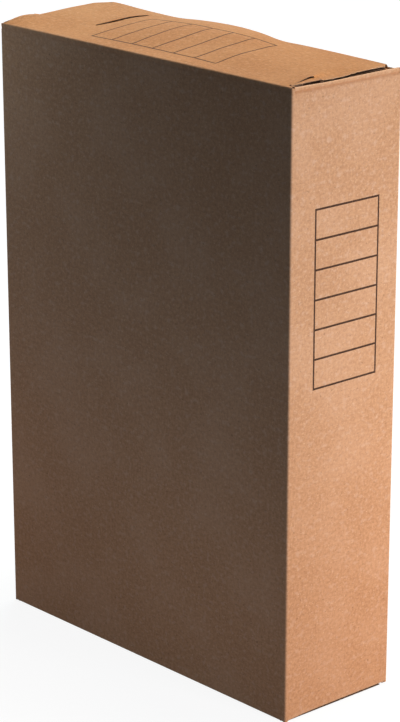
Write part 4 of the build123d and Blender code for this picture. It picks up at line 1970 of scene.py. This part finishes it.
LAMPS = (
    Lamp("key_lamp", (1.9, 0.14, 0.40), (0.12, 0.0, 0.22), 0.6, 25.4, (1.0, 0.985, 0.985)),
    Lamp("low_lamp", (0.36, 0.28, 0.13), (0.12, 0.03, 0.13), 0.15, 0.86, (1.0, 0.94, 0.83)),
    Lamp("top_lamp", (0.0, 0.45, 1.5), (0.0, 0.0, 0.355), 0.8, 15.0, (1.0, 0.86, 0.69)),
    Lamp("rear_lamp", (-0.35, 0.30, 0.65), (-0.12, 0.0, 0.355), 0.2, 1.2, (0.45, 0.80, 1.0)),
    Lamp("left_card", (-0.19, -0.13, 0.375), (-0.11, -0.04, 0.345), 0.1, 0.040, (0.71, 0.88, 1.0)),
    Lamp("foot_card", (-0.30, -0.18, 0.08), (-0.12, -0.04, 0.08), 0.15, 0.097, (0.94, 0.95, 1.0)),
    Lamp("low_card", (0.07, -0.28, 0.0), (0.04, -0.04, 0.02), 0.15, 0.212, (0.68, 0.83, 1.0)),
)


@dataclass
class Studio:
    """Pale floor, soft lamps on the spine's side, overhead and behind, weak cards before the front, the camera.

    Attributes:
        camera_place: where the camera stands.
        camera_turn: how it is turned, in degrees.
        lens: its focal length in millimetres.
        sensor: width of its film in millimetres.
        shift: shift of the photograph's crop.
        view_end: how far it sees, in metres.
        floor_half: half the floor's width, in metres.
        near_far: distances from the object over which the floor goes from near to far.
        shown: how bright the camera sees the floor near the object, and how much brighter far from it.
        floor_lit: how much of the light the floor shows to the camera, where shadows are seen.
        bounce_near: colour that the floor throws back near the object.
        bounce_far: colour that it throws back elsewhere.
        fill: colour of the world's light on the object.
        fill_strength: its strength.
    """

    camera_place: Triple = (1.10672, -0.98923, 0.64379)
    camera_turn: Triple = (69.84449, -0.07315, 47.82612)
    lens: float = 136.017
    sensor: float = 36.0
    shift: Pair = (-0.01711, 0.16867)
    view_end: float = 50.0
    floor_half: float = 6.0
    near_far: Pair = (0.1, 0.6)
    shown: Pair = (0.9, 0.1)
    floor_lit: Triple = (0.16, 0.16, 0.16)
    bounce_near: Triple = (0.122, 0.101, 0.092)
    bounce_far: Triple = (0.05, 0.05, 0.05)
    fill: Triple = (0.47, 0.73, 1.0)
    fill_strength: float = 0.088

    def build(self) -> None:
        """Set up the studio."""
        self._floor()
        self._world()
        for lamp in LAMPS:
            lamp.light()
        self._camera()

    def _floor(self) -> None:
        """Plain floor that shows pale to the camera and keeps the shadow."""
        mesh = bpy.data.meshes.new("studio_floor")
        size = self.floor_half
        mesh.from_pydata([(-size, -size, 0), (size, -size, 0), (size, size, 0), (-size, size, 0)], [], [(0, 1, 2, 3)])
        material, g = bare_material("studio_floor")
        place = g.node("ShaderNodeTexCoord").outputs["Object"]
        distance = g.node("ShaderNodeVectorMath", {0: place}, operation="LENGTH").outputs["Value"]
        far = g.band(distance, *self.near_far)
        strength = g.plus(self.shown[0], g.times(far, self.shown[1]))
        shown = g.node("ShaderNodeEmission", {"Color": WHITE, "Strength": strength})
        lit = g.node("ShaderNodeBsdfDiffuse", {"Color": self.floor_lit})
        both = g.node("ShaderNodeAddShader", {0: shown.outputs[0], 1: lit.outputs[0]})
        bounce = g.node("ShaderNodeBsdfDiffuse", {"Color": g.mix(far, self.bounce_near, self.bounce_far)})
        path = g.node("ShaderNodeLightPath").outputs
        seen = g.math("MAXIMUM", path["Is Camera Ray"], path["Is Glossy Ray"])
        choice = g.node("ShaderNodeMixShader", {0: seen, 1: bounce.outputs[0], 2: both.outputs[0]})
        g.node("ShaderNodeOutputMaterial", {"Surface": choice.outputs[0]})
        mesh.materials.append(material)
        floor = bpy.data.objects.new("studio_floor", mesh)
        bpy.context.scene.collection.objects.link(floor)

    def _world(self) -> None:
        """White behind the object, a dim cool fill for its shading."""
        world = bpy.data.worlds.new("studio")
        world.use_nodes = True
        world.node_tree.nodes.clear()
        g = Graph(world.node_tree)
        white = g.node("ShaderNodeBackground", {"Color": WHITE, "Strength": 1.0})
        fill = g.node("ShaderNodeBackground", {"Color": self.fill, "Strength": self.fill_strength})
        seen = g.node("ShaderNodeLightPath").outputs["Is Camera Ray"]
        choice = g.node("ShaderNodeMixShader", {0: seen, 1: fill.outputs[0], 2: white.outputs[0]})
        g.node("ShaderNodeOutputWorld", {"Surface": choice.outputs[0]})
        bpy.context.scene.world = world

    def _camera(self) -> None:
        """Camera at the photograph's place, with the shift of its crop."""
        data = bpy.data.cameras.new("camera")
        data.lens = self.lens
        data.sensor_width = self.sensor
        data.shift_x, data.shift_y = self.shift
        data.clip_end = self.view_end
        camera = bpy.data.objects.new("camera", data)
        camera.location = self.camera_place
        camera.rotation_euler = tuple(math.radians(angle) for angle in self.camera_turn)
        bpy.context.scene.collection.objects.link(camera)
        bpy.context.scene.camera = camera


def main() -> None:
    """Build every sub-assembly in order."""
    logging.basicConfig(level=logging.INFO, format="%(name)s: %(message)s")
    blank = Blank()
    palette = Palette(blank, NodeKit())
    maker = Maker(Board(), blank, palette)
    Walls(maker).build()
    Lid(maker, LidShape()).build()
    DustFlap(maker, Side.SPINE, Body.SPINE_DUST, "spine_dust", press=1.0).build()
    DustFlap(maker, Side.REAR, Body.REAR_DUST, "rear_dust").build()
    Bottom(maker).build()
    MakerJoint(palette).build()
    Studio().build()
    bpy.context.scene.view_settings.view_transform = "Standard"


if __name__ == "__main__":
    main()
